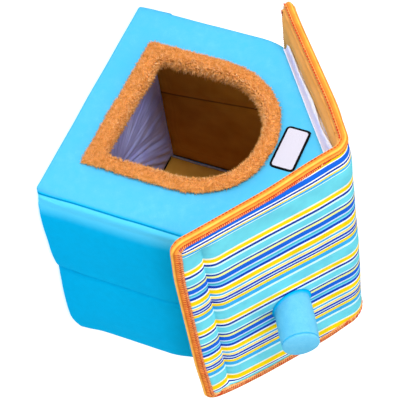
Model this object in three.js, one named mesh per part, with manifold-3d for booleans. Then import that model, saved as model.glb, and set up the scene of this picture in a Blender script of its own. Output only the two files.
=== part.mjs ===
// Covered pet bed: a soft house of padded walls under a quilted, striped roof with a plush chimney.
// Millimetres. The origin is the middle of the footprint on the floor, +X is the right side seen
// from the front, +Y runs to the back and +Z is up.
import * as THREE from 'three';
import { mergeVertices } from 'three/addons/utils/BufferGeometryUtils.js';
import Module from 'manifold-3d';

const wasm = await Module();
wasm.setup();
const { degToRad, lerp, smoothstep } = THREE.MathUtils;
const QUARTER = Math.PI / 2;

// House
const WIDTH = 360; // over the side walls
const DEPTH = 360; // over the front and back walls
const EAVE_HEIGHT = 240; // top of the side walls at their outer face
const GABLE_HEIGHT = 380; // where the two gable slopes would meet
const WALL = 26; // padded wall panels
const CLOTH = 1.5; // lining cloth
const GAP = 0.3; // between pieces that are sewn or laid together
const CORNER_RADIUS = 14; // the front and back panels turn the upright corners to seams on the sides
const SEAMS = { front: { left: 185, right: 174 }, back: { left: 182, right: 180 } }; // from the middle
const EDGE_RADIUS = 4; // soft edges of every panel
const CREASE = { y: 14, half: 16, depth: 2.5 }; // fold line down each side wall
const BULGE = { left: 6, right: 1 }; // how far each side wall swells past the house's width
const SIDE_PUFF = 2; // further swelling at half height
const BACK_PUFF = 4; // how far the back wall swells
const APEX_RADIUS = 10;
const BASE_THICKNESS = 24;

// Doorway with its plush trim: the clear opening under a round arch, fuller on its right shoulder
const DOOR = { x: -4.5, half: 94.5, bottom: 72.5, spring: 177.5 };
const SHOULDER = { left: 1, right: 0.88 }; // powers of the arch's two quarters, 1 is round
const TRIM_WIDTH = 25;
const TRIM_SEAT = 12; // the wall's edge lies this far outside the clear opening
const TRIM_CORNER = { inner: 14, outer: 3 };
const SILL_SPREAD = 1.14; // the trim is this much wider along the sill
const SILL_SLANT = 2; // the sill's right end hangs lower

// Blank label
const LABEL = { x: -7, z: 317, width: 76, height: 38, thick: 1.4, corner: 7 };

// Roof
const ROOF_LIFT = { ridge: 18, eave: 11 }; // white gusset between the gable slope and the roof
const GUSSET = { setBack: 3, thick: 4, edge: 1.2 };
const ROOF_PAD = 18.5;
const ROOF_EDGE = 10; // the pad is pressed to this at the binding
const ROOF_RISE = 22; // the pad swells to its full height over this distance
const ROOF_CORNER = 18;
const RIDGE_RADIUS = 12; // under the ridge
const RIDGE_DIP = 7; // the ridge droops at its front end
const RIDGE_PRESS = { depth: 5, half: 70, from: -170, to: 60 }; // the fold squeezes the pad, most in front
const EAVE_DROOP = { end: 3, left: 9, right: 8 }; // eaves hang below the slope, most at mid length
const EAVE_OVERHANG = 45; // past the side walls
const SEAM = { in: 29, half: 17, depth: 8, fromFront: 22, fromBack: 14, fade: 16 };
const CHANNEL_PUFF = 2;
const BINDING = { wide: 8.5, high: 13 };
// Pad corners: reach is measured sideways from the middle, front and back past the walls' outer faces
const ROOF_CORNERS = {
  left: { reachFront: 218, reachBack: 214, front: 42, back: 22, bow: 0 },
  right: { reachFront: 214, reachBack: 208, front: 27, back: 39, bow: 9 },
  ridge: { front: 54, back: 41 },
};

// Chimney on the right slope, leaning out
const CHIMNEY = { x: 97.5, y: 61.5, radius: 28, length: 75, angle: degToRad(32.5), sides: 28 };

const PITCH = Math.atan2(GABLE_HEIGHT - EAVE_HEIGHT, WIDTH / 2);
const RIDGE_UNDER = GABLE_HEIGHT + ROOF_LIFT.ridge;
const ROOF_PITCH = Math.atan2(RIDGE_UNDER - EAVE_HEIGHT - ROOF_LIFT.eave, WIDTH / 2);
const INSIDE = WIDTH / 2 - WALL;
const FRONT = -DEPTH / 2;

const COLOURS = {
  plush: 0x4fc3f2,
  trim: 0xd9822f,
  lining: 0xa87227,
  satin: 0xe9e8f4,
  roof: 0x6fdfee,
  roofLining: 0xe8a040,
  binding: 0xf39a2b,
  label: 0xf7f7f7,
};

const vec = (x, y, z) => new THREE.Vector3(x, y, z);
const house = new THREE.Group();

function add(name, geometry, color, roughness) {
  const material = new THREE.MeshStandardMaterial({ color, roughness, metalness: 0 });
  const mesh = new THREE.Mesh(geometry, material);
  mesh.name = name;
  house.add(mesh);
}

// A closed body from points and triangles that agree on a side, turned to face outwards
function body(points, triangles) {
  let volume = 0;
  for (let i = 0; i < triangles.length; i += 3) {
    const [a, b, c] = [points[triangles[i]], points[triangles[i + 1]], points[triangles[i + 2]]];
    volume += a.dot(vec(0, 0, 0).crossVectors(b, c));
  }
  const geometry = new THREE.BufferGeometry().setFromPoints(points);
  geometry.setIndex(volume > 0 ? triangles : [...triangles].reverse());
  geometry.computeVertexNormals();
  return geometry;
}

// Triangles between neighbouring rings of points; joinsEnds closes the last ring onto the first
function bands(rings, joinsEnds) {
  const count = rings[0].length;
  const triangles = [];
  const steps = joinsEnds ? rings.length : rings.length - 1;
  for (let i = 0; i < steps; i++) {
    const next = (i + 1) % rings.length;
    for (let j = 0; j < count; j++) {
      const k = (j + 1) % count;
      const [a, b, c, d] = [i * count + j, i * count + k, next * count + k, next * count + j];
      triangles.push(a, b, c, a, c, d);
    }
  }
  return triangles;
}

// A stack of outlines with both ends capped; flatten gives the two coordinates of a cap
function loft(rings, flatten) {
  const count = rings[0].length;
  const triangles = bands(rings, false);
  for (const [ring, turn] of [[0, -1], [rings.length - 1, 1]]) {
    const outline = rings[ring].map(flatten);
    const faces = THREE.ShapeUtils.triangulateShape([...outline], []);
    const areas = faces.map((face) => THREE.ShapeUtils.area(face.map((i) => outline[i])));
    const covered = areas.reduce((sum, area) => sum + area, 0);
    const same = Math.sign(covered) === Math.sign(THREE.ShapeUtils.area(outline)) * turn;
    for (const [a, b, c] of faces) {
      const face = same ? [a, b, c] : [a, c, b];
      triangles.push(...face.map((index) => index + ring * count));
    }
  }
  return body(rings.flat(), triangles);
}

// A sheet or pad from rows of matching upper and lower points; both faces are split the same way
function slab(rows) {
  const width = rows[0].upper.length;
  const lastRow = rows.length - 1;
  const at = (i, j, layer) => (2 * i + layer) * width + j;
  const triangles = [];
  const quad = (a, b, c, d) => triangles.push(a, b, c, a, c, d);
  for (let i = 0; i < lastRow; i++) {
    for (let j = 0; j + 1 < width; j++) {
      quad(at(i, j, 0), at(i, j + 1, 0), at(i + 1, j + 1, 0), at(i + 1, j, 0));
      triangles.push(at(i, j, 1), at(i + 1, j + 1, 1), at(i, j + 1, 1));
      triangles.push(at(i, j, 1), at(i + 1, j, 1), at(i + 1, j + 1, 1));
    }
    quad(at(i, 0, 1), at(i, 0, 0), at(i + 1, 0, 0), at(i + 1, 0, 1));
    quad(at(i, width - 1, 0), at(i, width - 1, 1), at(i + 1, width - 1, 1), at(i + 1, width - 1, 0));
  }
  for (let j = 0; j + 1 < width; j++) {
    quad(at(0, j, 1), at(0, j + 1, 1), at(0, j + 1, 0), at(0, j, 0));
    quad(at(lastRow, j, 0), at(lastRow, j + 1, 0), at(lastRow, j + 1, 1), at(lastRow, j, 1));
  }
  return body(rows.flatMap(({ upper, lower }) => [...upper, ...lower]), triangles);
}

function toManifold(geometry) {
  const bare = new THREE.BufferGeometry();
  bare.setAttribute('position', geometry.getAttribute('position').clone());
  bare.setIndex(geometry.getIndex());
  const merged = mergeVertices(bare, 1e-4);
  const mesh = new wasm.Mesh({
    numProp: 3,
    vertProperties: new Float32Array(merged.getAttribute('position').array),
    triVerts: new Uint32Array(merged.getIndex().array),
  });
  return new wasm.Manifold(mesh);
}

function cutFrom(geometry, tool) {
  const mesh = toManifold(geometry).subtract(toManifold(tool)).getMesh();
  const result = new THREE.BufferGeometry();
  result.setAttribute('position', new THREE.BufferAttribute(new Float32Array(mesh.vertProperties), 3));
  result.setIndex([...mesh.triVerts]);
  result.computeVertexNormals();
  return result;
}

// Points of an arc about (x, y) from one angle to another, both ends included
function arc(x, y, radius, from, to, steps) {
  return Array.from({ length: steps + 1 }, (_, i) => {
    const angle = lerp(from, to, i / steps);
    return [x + radius * Math.cos(angle), y + radius * Math.sin(angle)];
  });
}

// A closed outline drawn in along the bisectors of its corners
function drawnIn(outline, inset) {
  const turn = Math.sign(THREE.ShapeUtils.area(outline.map(([x, y]) => new THREE.Vector2(x, y))));
  return outline.map(([x, y], i) => {
    const before = outline.at(i - 1);
    const after = outline[(i + 1) % outline.length];
    const inDir = new THREE.Vector2(x - before[0], y - before[1]).normalize();
    const outDir = new THREE.Vector2(after[0] - x, after[1] - y).normalize();
    const normal = new THREE.Vector2(-inDir.y - outDir.y, inDir.x + outDir.x);
    normal.normalize().multiplyScalar(turn);
    const spread = Math.max(0.5, normal.x * -outDir.y * turn + normal.y * outDir.x * turn);
    return [x + (normal.x * inset) / spread, y + (normal.y * inset) / spread];
  });
}

// Rounded edge of a panel: depth below the face, and how far the outline is drawn in there
const SOFT_EDGE = [
  { depth: 0, inset: EDGE_RADIUS },
  { depth: EDGE_RADIUS * 0.3, inset: EDGE_RADIUS * 0.3 },
  { depth: EDGE_RADIUS, inset: 0 },
];

const gableLine = (x) => GABLE_HEIGHT - Math.abs(x) * Math.tan(PITCH);
const underRoof = (x) => RIDGE_UNDER - Math.abs(x) * Math.tan(ROOF_PITCH);
const TIP_STEPS = 4;

// A rounded ridge: points of an arc that touches both slopes, from right to left
function ridgeTip(height, radius, pitch) {
  const middle = height - radius / Math.cos(pitch);
  return arc(0, middle, radius, QUARTER - pitch, QUARTER + pitch, TIP_STEPS);
}

function gableOutline(left, right, inset) {
  const drop = inset / Math.cos(PITCH);
  return [
    [-left, inset],
    [right, inset],
    [right, gableLine(right) - drop],
    ...ridgeTip(GABLE_HEIGHT - drop, APEX_RADIUS, PITCH),
    [-left, gableLine(left) - drop],
  ];
}

// Half width of a gable panel: it rounds the corner to the seam, then runs in along the mitre
function gableHalf(depth, seam) {
  const behind = depth - CORNER_RADIUS;
  if (behind > 0) return lerp(seam, INSIDE, behind / (WALL - CORNER_RADIUS)) - GAP;
  return seam - CORNER_RADIUS + Math.sqrt(CORNER_RADIUS ** 2 - behind ** 2) - GAP;
}

// Front or back panel; narrow is how far a crowned row stays inside the upright edges
function gablePanel(facing, puff) {
  const { left, right } = facing < 0 ? SEAMS.front : SEAMS.back;
  const crown = [
    { depth: -puff, inset: WIDTH / 4, narrow: WIDTH / 4 },
    { depth: -puff * 0.6, inset: WIDTH / 10, narrow: WIDTH / 10 },
  ];
  const rows = [
    ...(puff ? crown : []),
    ...SOFT_EDGE,
    { depth: CORNER_RADIUS * 0.6, inset: 0 },
    { depth: CORNER_RADIUS, inset: 0 },
    { depth: WALL - EDGE_RADIUS / 2, inset: 0 },
    { depth: WALL, inset: EDGE_RADIUS / 2 },
  ];
  const rings = rows.map(({ depth, inset, narrow = 0 }) => {
    const y = facing * (DEPTH / 2 - depth);
    const half = (seam) => gableHalf(Math.max(0, depth), seam) - narrow;
    return gableOutline(half(left), half(right), inset).map(([x, z]) => vec(x, y, z));
  });
  return loft(rings, (p) => new THREE.Vector2(p.x, p.z));
}

// Outline of the doorway, grown by out from the clear opening
const DOOR_STEPS = { sill: 6, corner: 3, jamb: 3, arch: 9 };

function doorLoop(out) {
  const half = DOOR.half + out;
  const bottom = DOOR.bottom - out * SILL_SPREAD;
  const corner = lerp(TRIM_CORNER.inner, TRIM_CORNER.outer, Math.min(1, out / TRIM_WIDTH));
  const between = (from, to, steps) => Array.from({ length: steps - 1 }, (_, i) => {
    const t = (i + 1) / steps;
    return [lerp(from[0], to[0], t), lerp(from[1], to[1], t)];
  });
  const shoulder = (from, to, power) => arc(0, 0, 1, from, to, DOOR_STEPS.arch).map(([x, z]) =>
    [half * Math.sign(x) * Math.abs(x) ** power, DOOR.spring + half * Math.abs(z) ** power]);
  const loop = [
    ...between([-half + corner, bottom], [half - corner, bottom], DOOR_STEPS.sill),
    ...arc(half - corner, bottom + corner, corner, -QUARTER, 0, DOOR_STEPS.corner),
    ...between([half, bottom + corner], [half, DOOR.spring], DOOR_STEPS.jamb),
    ...shoulder(0, QUARTER, SHOULDER.right),
    ...shoulder(QUARTER, Math.PI, SHOULDER.left).slice(1),
    ...between([-half, DOOR.spring], [-half, bottom + corner], DOOR_STEPS.jamb),
    ...arc(-half + corner, bottom + corner, corner, Math.PI, Math.PI + QUARTER, DOOR_STEPS.corner),
  ];
  return loop.map(([x, z]) => {
    const low = Math.max(0, DOOR.spring - z) / (DOOR.spring - bottom);
    return [x + DOOR.x, z - (SILL_SLANT * low * x) / half];
  });
}

// Doorway trim: a plush roll on the wall's face that turns in through the opening and draws away
// behind it. out grows from the clear opening, depth is behind the wall's face
const TRIM_SECTION = [
  { out: TRIM_WIDTH - 1, depth: -GAP },
  { out: TRIM_WIDTH + 0.5, depth: -3.5 },
  { out: TRIM_WIDTH - 3, depth: -7.5 },
  { out: TRIM_WIDTH * 0.58, depth: -9.5 },
  { out: TRIM_WIDTH * 0.28, depth: -8.5 },
  { out: 1.5, depth: -5 },
  { out: 0, depth: 1 },
  { out: 0.8, depth: 8 },
  { out: 5.5, depth: 16 },
  { out: TRIM_SEAT - GAP, depth: 23 },
  { out: TRIM_SEAT - GAP, depth: -GAP },
];

function doorTrim() {
  const loops = TRIM_SECTION.map(({ out }) => doorLoop(out));
  const rings = loops[0].map((_, i) => TRIM_SECTION.map(({ depth }, j) => {
    const [x, z] = loops[j][i];
    return vec(x, FRONT + depth, z);
  }));
  return body(rings.flat(), bands(rings, true));
}

function doorwayTool() {
  const loop = doorLoop(TRIM_SEAT);
  const rings = [FRONT - WALL, FRONT + 2 * WALL].map((y) => loop.map(([x, z]) => vec(x, y, z)));
  return loft(rings, (p) => new THREE.Vector2(p.x, p.z));
}

// Roll of a side wall's edge: along is measured from the seam, in is the share of the seam's depth
const SIDE_EDGE = [
  { along: 0, in: 1 },
  { along: 8, in: 0.35 },
  { along: 16, in: 0.08 },
  { along: 28, in: 0 },
];

// Side panel in plan, on the right: rolled edges, two swelling halves and the fold between them
function sideOutline(side, puff) {
  const face = WIDTH / 2 + BULGE[side];
  const end = DEPTH / 2 - CORNER_RADIUS - GAP;
  const inner = DEPTH / 2 - WALL - GAP;
  const creaseIn = CREASE.y - CREASE.half;
  const creaseOut = CREASE.y + CREASE.half;
  const edge = (facing, seam) => SIDE_EDGE.map((row) =>
    [face - row.in * (face - seam[side]), facing * (end - row.along)]);
  return [
    ...edge(-1, SEAMS.front),
    [face + puff, lerp(-end, creaseIn, 0.5)],
    [face, creaseIn],
    [face - CREASE.depth, CREASE.y],
    [face, creaseOut],
    [face + puff, lerp(end, creaseOut, 0.5)],
    ...edge(1, SEAMS.back).reverse(),
    [INSIDE, inner],
    [INSIDE, creaseOut],
    [INSIDE + CREASE.depth / 2, CREASE.y],
    [INSIDE, creaseIn],
    [INSIDE, -inner],
  ];
}

function sidePanel(hand) {
  const side = hand < 0 ? 'left' : 'right';
  const ring = (inset, puff, height) =>
    drawnIn(sideOutline(side, puff), inset).map(([x, y]) => vec(hand * x, y, height(x)));
  const rings = [
    ...SOFT_EDGE.map(({ depth, inset }) => ring(inset, 0, () => depth)),
    ...[0.3, 0.5, 0.7].map((t) => ring(0, SIDE_PUFF * 4 * t * (1 - t), () => EAVE_HEIGHT * t)),
    ...SOFT_EDGE.map(({ depth, inset }) => ring(inset, 0, (x) => gableLine(x) - depth)).reverse(),
  ];
  return loft(rings, (p) => new THREE.Vector2(p.x, p.y));
}

const ROUND_STEPS = 3;

function roundedSquare(half, corner) {
  const at = half - corner;
  return [[1, -1], [1, 1], [-1, 1], [-1, -1]].flatMap(([x, y], i) => {
    const from = (i - 1) * QUARTER;
    return arc(x * at, y * at, corner, from, from + QUARTER, ROUND_STEPS);
  });
}

function basePad() {
  const outline = roundedSquare(INSIDE - 2 * GAP, 2 * EDGE_RADIUS);
  const ring = (inset, z) => drawnIn(outline, inset).map(([x, y]) => vec(x, y, z));
  const rings = [
    ...SOFT_EDGE.map(({ depth, inset }) => ring(inset, depth)),
    ...SOFT_EDGE.map(({ depth, inset }) => ring(inset, BASE_THICKNESS - depth)).reverse(),
  ];
  return loft(rings, (p) => new THREE.Vector2(p.x, p.y));
}

// Wrinkles of the satin floor run from side to side; slant is how far one end lies further back
const FLOOR_FOLDS = [
  { y: -134, height: 3.0, half: 11, slant: 6 },
  { y: -110, height: 4.5, half: 13, slant: 10 },
  { y: -84, height: 3.5, half: 11, slant: 4 },
  { y: -57, height: 5.0, half: 14, slant: 14 },
  { y: -28, height: 3.5, half: 12, slant: 8 },
  { y: 2, height: 4.5, half: 14, slant: 16 },
  { y: 34, height: 3.0, half: 13, slant: 10 },
  { y: 66, height: 4.0, half: 15, slant: 12 },
  { y: 101, height: 3.0, half: 14, slant: 6 },
];

const FLOOR_STEPS = 52;

function floorRise(x, y) {
  return FLOOR_FOLDS.reduce((rise, fold) => {
    const away = Math.abs(y - fold.y - (fold.slant * x) / WIDTH) / fold.half;
    return rise + (away < 1 ? fold.height * (0.5 + 0.5 * Math.cos(Math.PI * away)) : 0);
  }, 0);
}

function floorLining() {
  const reach = INSIDE - CLOTH - 4 * GAP;
  const columns = [-1, -0.5, 0, 0.5, 1].map((t) => t * reach);
  const rows = Array.from({ length: FLOOR_STEPS + 1 }, (_, i) => {
    const y = lerp(-reach, reach, i / FLOOR_STEPS);
    const foot = BASE_THICKNESS + GAP;
    const sheet = (lift) => columns.map((x) => vec(x, y, foot + lift + floorRise(x, y)));
    return { upper: sheet(CLOTH), lower: sheet(0) };
  });
  return slab(rows);
}

const LINING_FOOT = BASE_THICKNESS + 2 * GAP;

// Lining of a side wall, with the same fold
function sideLining(hand) {
  const outer = INSIDE - GAP;
  const reach = INSIDE - CLOTH - 3 * GAP;
  const stops = [
    { y: -reach, fold: 0 },
    { y: CREASE.y - CREASE.half, fold: 0 },
    { y: CREASE.y, fold: CREASE.depth / 2 },
    { y: CREASE.y + CREASE.half, fold: 0 },
    { y: reach, fold: 0 },
  ];
  const rows = stops.map(({ y, fold }) => {
    const edge = (x) => [vec(hand * x, y, LINING_FOOT), vec(hand * x, y, gableLine(x) - EDGE_RADIUS)];
    return { upper: edge(outer + fold), lower: edge(outer + fold - CLOTH) };
  });
  return slab(rows);
}

// Lining of the front or back wall
function gableLining(facing) {
  const near = DEPTH / 2 - WALL - GAP - CLOTH;
  const half = INSIDE - 2 * GAP;
  const outline = [
    [-half, LINING_FOOT],
    [half, LINING_FOOT],
    [half, gableLine(half) - EDGE_RADIUS],
    ...ridgeTip(GABLE_HEIGHT - EDGE_RADIUS, APEX_RADIUS, PITCH),
    [-half, gableLine(half) - EDGE_RADIUS],
  ];
  const rings = [near, near + CLOTH].map((y) => outline.map(([x, z]) => vec(x, facing * y, z)));
  return loft(rings, (p) => new THREE.Vector2(p.x, p.z));
}

function labelPatch() {
  const { width, height, corner, thick } = LABEL;
  const [w, h] = [width / 2 - corner, height / 2 - corner];
  const outline = [[w, -h], [w, h], [-w, h], [-w, -h]].flatMap(([x, z], i) =>
    arc(x, z, corner, (i - 1) * QUARTER, i * QUARTER, ROUND_STEPS));
  const back = FRONT - GAP;
  const rings = [
    { y: back, inset: 0 },
    { y: back - thick * 0.6, inset: 0 },
    { y: back - thick, inset: thick * 0.5 },
  ].map(({ y, inset }) => drawnIn(outline, inset).map(([x, z]) => vec(x + LABEL.x, y, z + LABEL.z)));
  return loft(rings, (p) => new THREE.Vector2(p.x, p.z));
}

// A strip of the gusset run along y with rolled ends
function gussetStrip(outline, from, to) {
  const rings = [
    { y: from, inset: GUSSET.edge },
    { y: from + GUSSET.edge, inset: 0 },
    { y: to - GUSSET.edge, inset: 0 },
    { y: to, inset: GUSSET.edge },
  ].map(({ y, inset }) => drawnIn(outline, inset).map(([x, z]) => vec(x, y, z)));
  return loft(rings, (p) => new THREE.Vector2(p.x, p.z));
}

const GUSSET_CLEAR = GAP / Math.cos(ROOF_PITCH);

// White gusset over a gable: a chevron between the panel's slope and the roof
function gableGusset(facing) {
  const half = WIDTH / 2 - GUSSET.setBack;
  const outline = [
    [-half, gableLine(half) + GUSSET_CLEAR],
    ...ridgeTip(GABLE_HEIGHT + GUSSET_CLEAR, APEX_RADIUS, PITCH).reverse(),
    [half, gableLine(half) + GUSSET_CLEAR],
    [half, underRoof(half) - GUSSET_CLEAR],
    ...ridgeTip(RIDGE_UNDER - GUSSET_CLEAR, RIDGE_RADIUS - GAP, ROOF_PITCH),
    [-half, underRoof(half) - GUSSET_CLEAR],
  ];
  const near = facing * (DEPTH / 2 - GUSSET.setBack);
  const far = near - facing * GUSSET.thick;
  return gussetStrip(outline, Math.min(near, far), Math.max(near, far));
}

// White gusset over a side wall
function sideGusset(hand) {
  const outer = WIDTH / 2 - GUSSET.setBack;
  const inner = outer - GUSSET.thick;
  const reach = DEPTH / 2 - GUSSET.setBack - GUSSET.thick - GAP;
  const outline = [
    [hand * inner, gableLine(inner) + GUSSET_CLEAR],
    [hand * outer, gableLine(outer) + GUSSET_CLEAR],
    [hand * outer, underRoof(outer) - GUSSET_CLEAR],
    [hand * inner, underRoof(inner) - GUSSET_CLEAR],
  ];
  return gussetStrip(outline, -reach, reach);
}

// The roof is drawn flat and then folded: a runs across from the ridge, h stands off the pad's middle
const ROOF_UNDER = ROOF_PAD / 2 + GAP + CLOTH;
const FOLD_RADIUS = RIDGE_RADIUS + ROOF_UNDER;
const FOLD_HEIGHT = RIDGE_UNDER - RIDGE_RADIUS / Math.cos(ROOF_PITCH);
const FOLD_ARC = FOLD_RADIUS * ROOF_PITCH;
const FOLD_HALF = FOLD_RADIUS * Math.sin(ROOF_PITCH);
const reachToFlat = (reach) => (reach - FOLD_HALF) / Math.cos(ROOF_PITCH) + FOLD_ARC;
const DROOP_FADE = { outside: 30, inside: 70 }; // about the front and back walls' faces
const DIP_FROM = 8; // the ridge starts to droop this far past the front wall

// How far the roof hangs below its slope at x, y: the eaves past the side walls, the ridge past the front
function droop(x, y, a) {
  const past = Math.max(0, Math.abs(x) - WIDTH / 2) / EAVE_OVERHANG;
  const { outside, inside } = DROOP_FADE;
  const middle = 1 - smoothstep(Math.abs(y), DEPTH / 2 - inside, DEPTH / 2 + outside);
  const eave = lerp(EAVE_DROOP.end, x < 0 ? EAVE_DROOP.left : EAVE_DROOP.right, middle);
  const ahead = smoothstep(FRONT - y, DIP_FROM, ROOF_CORNERS.ridge.front);
  const nearRidge = 1 - smoothstep(Math.abs(a), 0, WIDTH / 3);
  return eave * past ** 2 + RIDGE_DIP * ahead * nearRidge;
}

function foldRoof(a, y, h) {
  const side = Math.sign(a) || 1;
  const turn = Math.min(Math.abs(a), FOLD_ARC) / FOLD_RADIUS;
  const down = Math.max(0, Math.abs(a) - FOLD_ARC);
  const x = side * ((FOLD_RADIUS + h) * Math.sin(turn) + down * Math.cos(ROOF_PITCH));
  const z = FOLD_HEIGHT + (FOLD_RADIUS + h) * Math.cos(turn) - down * Math.sin(ROOF_PITCH);
  return vec(x, y, z - droop(x, y, a));
}

// Places on the flat roof: p runs from the left eave (-1) over the ridge to the right eave (1), q to
// the back. The back edge may bow out, most at two thirds of the way to the eave
function flatRoof(p, q) {
  const eave = p < 0 ? ROOF_CORNERS.left : ROOF_CORNERS.right;
  const away = Math.abs(p);
  const { ridge } = ROOF_CORNERS;
  const reach = reachToFlat(lerp(eave.reachFront, eave.reachBack, q));
  const from = FRONT - lerp(ridge.front, eave.front, away);
  const bow = (eave.bow * 27 * away ** 2 * (1 - away)) / 4;
  const to = DEPTH / 2 + lerp(ridge.back, eave.back, away) + bow;
  return { a: p * reach, y: lerp(from, to, q), reach, length: to - from };
}

// One place of the roof's grid: side and distances from the eave, front and back edges, corners rounded
function roofPlace(side, fromEave, q) {
  const { reach, length } = flatRoof(side, q);
  let eave = fromEave;
  let front = q * length;
  let back = length - front;
  const round = (edge) => {
    const s = Math.max(0, 1 - eave / ROOF_CORNER);
    const t = Math.max(0, 1 - edge / ROOF_CORNER);
    if (s === 0 || t === 0) return edge;
    eave = ROOF_CORNER * (1 - s * Math.sqrt(1 - t ** 2 / 2));
    return ROOF_CORNER * (1 - t * Math.sqrt(1 - s ** 2 / 2));
  };
  front = round(front);
  if (front === q * length) back = round(back);
  const along = front === q * length ? 1 - back / length : front / length;
  const { a, y } = flatRoof(side * (1 - eave / reach), along);
  return { a, y, eave, front: along * length, back: (1 - along) * length };
}

// Half the pad's thickness: pressed thin along the edges
function swell({ eave, front, back }) {
  const d = Math.min(1, Math.min(eave, front, back) / ROOF_RISE);
  return lerp(ROOF_EDGE, ROOF_PAD, Math.sqrt(1 - (1 - d) ** 2)) / 2;
}

// Quilt seam along each eave: a sewn valley, with the channel outside it stuffed a little fuller
function quilt({ eave, front, back }) {
  const off = Math.abs(eave - SEAM.in) / SEAM.half;
  const ends = smoothstep(front, SEAM.fromFront, SEAM.fromFront + SEAM.fade)
    * smoothstep(back, SEAM.fromBack, SEAM.fromBack + SEAM.fade);
  const valley = off < 1 ? SEAM.depth * (1 - off) ** 2 : 0;
  const channel = eave < SEAM.in ? CHANNEL_PUFF * Math.sin((Math.PI * eave) / SEAM.in) : 0;
  return (channel - valley) * ends;
}

// The fold squeezes the pad along the ridge
function pressed({ a, y }) {
  const nearRidge = 1 - smoothstep(Math.abs(a), 0, RIDGE_PRESS.half);
  return RIDGE_PRESS.depth * nearRidge * (1 - smoothstep(y, RIDGE_PRESS.from, RIDGE_PRESS.to));
}

// Lines of the roof's grid, measured in from the eaves and from the front and back edges
const EAVE_LINES = [0, 3, 8, 14, 20, 25, 29, 33, 39, 47, 66, 120, 180, 215, 240];
const EDGE_LINES = [0, 3, 8, 15, 22, 30, 40];
const RIDGE_STEPS = 3;
const MIDDLE_STEPS = 7;

function roofColumns(side) {
  const slope = EAVE_LINES.map((fromEave) => ({ side, fromEave }));
  const ridge = Array.from({ length: RIDGE_STEPS }, (_, i) => {
    const onRidge = FOLD_ARC * (1 - i / RIDGE_STEPS);
    return { side, onRidge };
  });
  return [...slope, ...ridge];
}

function roofRows() {
  const { length } = flatRoof(0, 0.5);
  const ends = EDGE_LINES.map((d) => d / length);
  const first = ends.at(-1);
  const middle = Array.from({ length: MIDDLE_STEPS - 1 }, (_, i) =>
    lerp(first, 1 - first, (i + 1) / MIDDLE_STEPS));
  return [...ends, ...middle, ...ends.map((q) => 1 - q).reverse()];
}

function roofGrid() {
  const left = roofColumns(-1);
  const right = roofColumns(1).reverse();
  const columns = [...left, { side: 1, onRidge: 0 }, ...right];
  return roofRows().map((q) => columns.map(({ side, fromEave, onRidge }) => {
    const { reach } = flatRoof(side, q);
    return roofPlace(side, fromEave ?? reach - onRidge, q);
  }));
}

const ROOF_GRID = roofGrid();

function roofSlab(upper, lower) {
  return slab(ROOF_GRID.map((row) => ({
    upper: row.map((place) => foldRoof(place.a, place.y, upper(place))),
    lower: row.map((place) => foldRoof(place.a, place.y, lower(place))),
  })));
}

function roofPad() {
  const top = (place) => swell(place) + quilt(place) - pressed(place);
  return roofSlab(top, (place) => -swell(place));
}

function roofLining() {
  return roofSlab((place) => -swell(place) - GAP, (place) => -swell(place) - GAP - CLOTH);
}

// Rolled binding round the roof's edge: out from the pad's edge, and half its height there
const BINDING_SECTION = [
  { out: 0, high: -0.84 },
  { out: 0.45, high: -1 },
  { out: 0.85, high: -0.7 },
  { out: 1, high: 0 },
  { out: 0.85, high: 0.7 },
  { out: 0.45, high: 1 },
  { out: 0, high: 0.84 },
];

function roofBinding() {
  const last = ROOF_GRID[0].length - 1;
  const edge = [
    ...ROOF_GRID[0],
    ...ROOF_GRID.slice(1, -1).map((row) => row[last]),
    ...[...ROOF_GRID.at(-1)].reverse(),
    ...ROOF_GRID.slice(1, -1).map((row) => row[0]).reverse(),
  ];
  const rings = edge.map(({ a, y }, i) => {
    const before = edge.at(i - 1);
    const after = edge[(i + 1) % edge.length];
    const along = new THREE.Vector2(after.a - before.a, after.y - before.y).normalize();
    return BINDING_SECTION.map(({ out, high }) => {
      const reach = GAP + out * BINDING.wide;
      return foldRoof(a + along.y * reach, y - along.x * reach, (high * BINDING.high) / 2);
    });
  });
  return body(rings.flat(), bands(rings, true));
}

// Chimney: radius at each distance along the leaning axis, with the sewn ring below its cap
const CHIMNEY_RINGS = [
  { along: 0.22, radius: 1.02 },
  { along: 0.5, radius: 1.03 },
  { along: 0.8, radius: 1 },
  { along: 0.86, radius: 0.95 },
  { along: 0.9, radius: 0.985 },
  { along: 0.96, radius: 0.86 },
  { along: 0.995, radius: 0.55 },
  { along: 1.01, radius: 0.22 },
];

function chimney() {
  const axis = vec(Math.cos(CHIMNEY.angle), 0, Math.sin(CHIMNEY.angle));
  const upward = vec(-Math.sin(CHIMNEY.angle), 0, Math.cos(CHIMNEY.angle));
  const slope = vec(Math.sin(ROOF_PITCH), 0, Math.cos(ROOF_PITCH));
  const roofTop = ROOF_UNDER + ROOF_PAD / 2 + GAP;
  const foot = vec(CHIMNEY.x, CHIMNEY.y, underRoof(CHIMNEY.x) + roofTop / Math.cos(ROOF_PITCH));
  const angles = Array.from({ length: CHIMNEY.sides }, (_, i) => (4 * QUARTER * i) / CHIMNEY.sides);
  const round = (radius) => angles.map((angle) => {
    const across = vec(0, radius * Math.cos(angle), 0);
    return foot.clone().addScaledVector(upward, radius * Math.sin(angle)).add(across);
  });
  const base = round(CHIMNEY.radius).map((point) => {
    const height = slope.dot(point.clone().sub(foot));
    return point.addScaledVector(axis, -height / slope.dot(axis));
  });
  const rings = CHIMNEY_RINGS.map(({ along, radius }) =>
    round(radius * CHIMNEY.radius).map((point) => point.addScaledVector(axis, along * CHIMNEY.length)));
  return loft([base, ...rings], (p) => new THREE.Vector2(p.y, p.dot(upward)));
}

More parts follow.
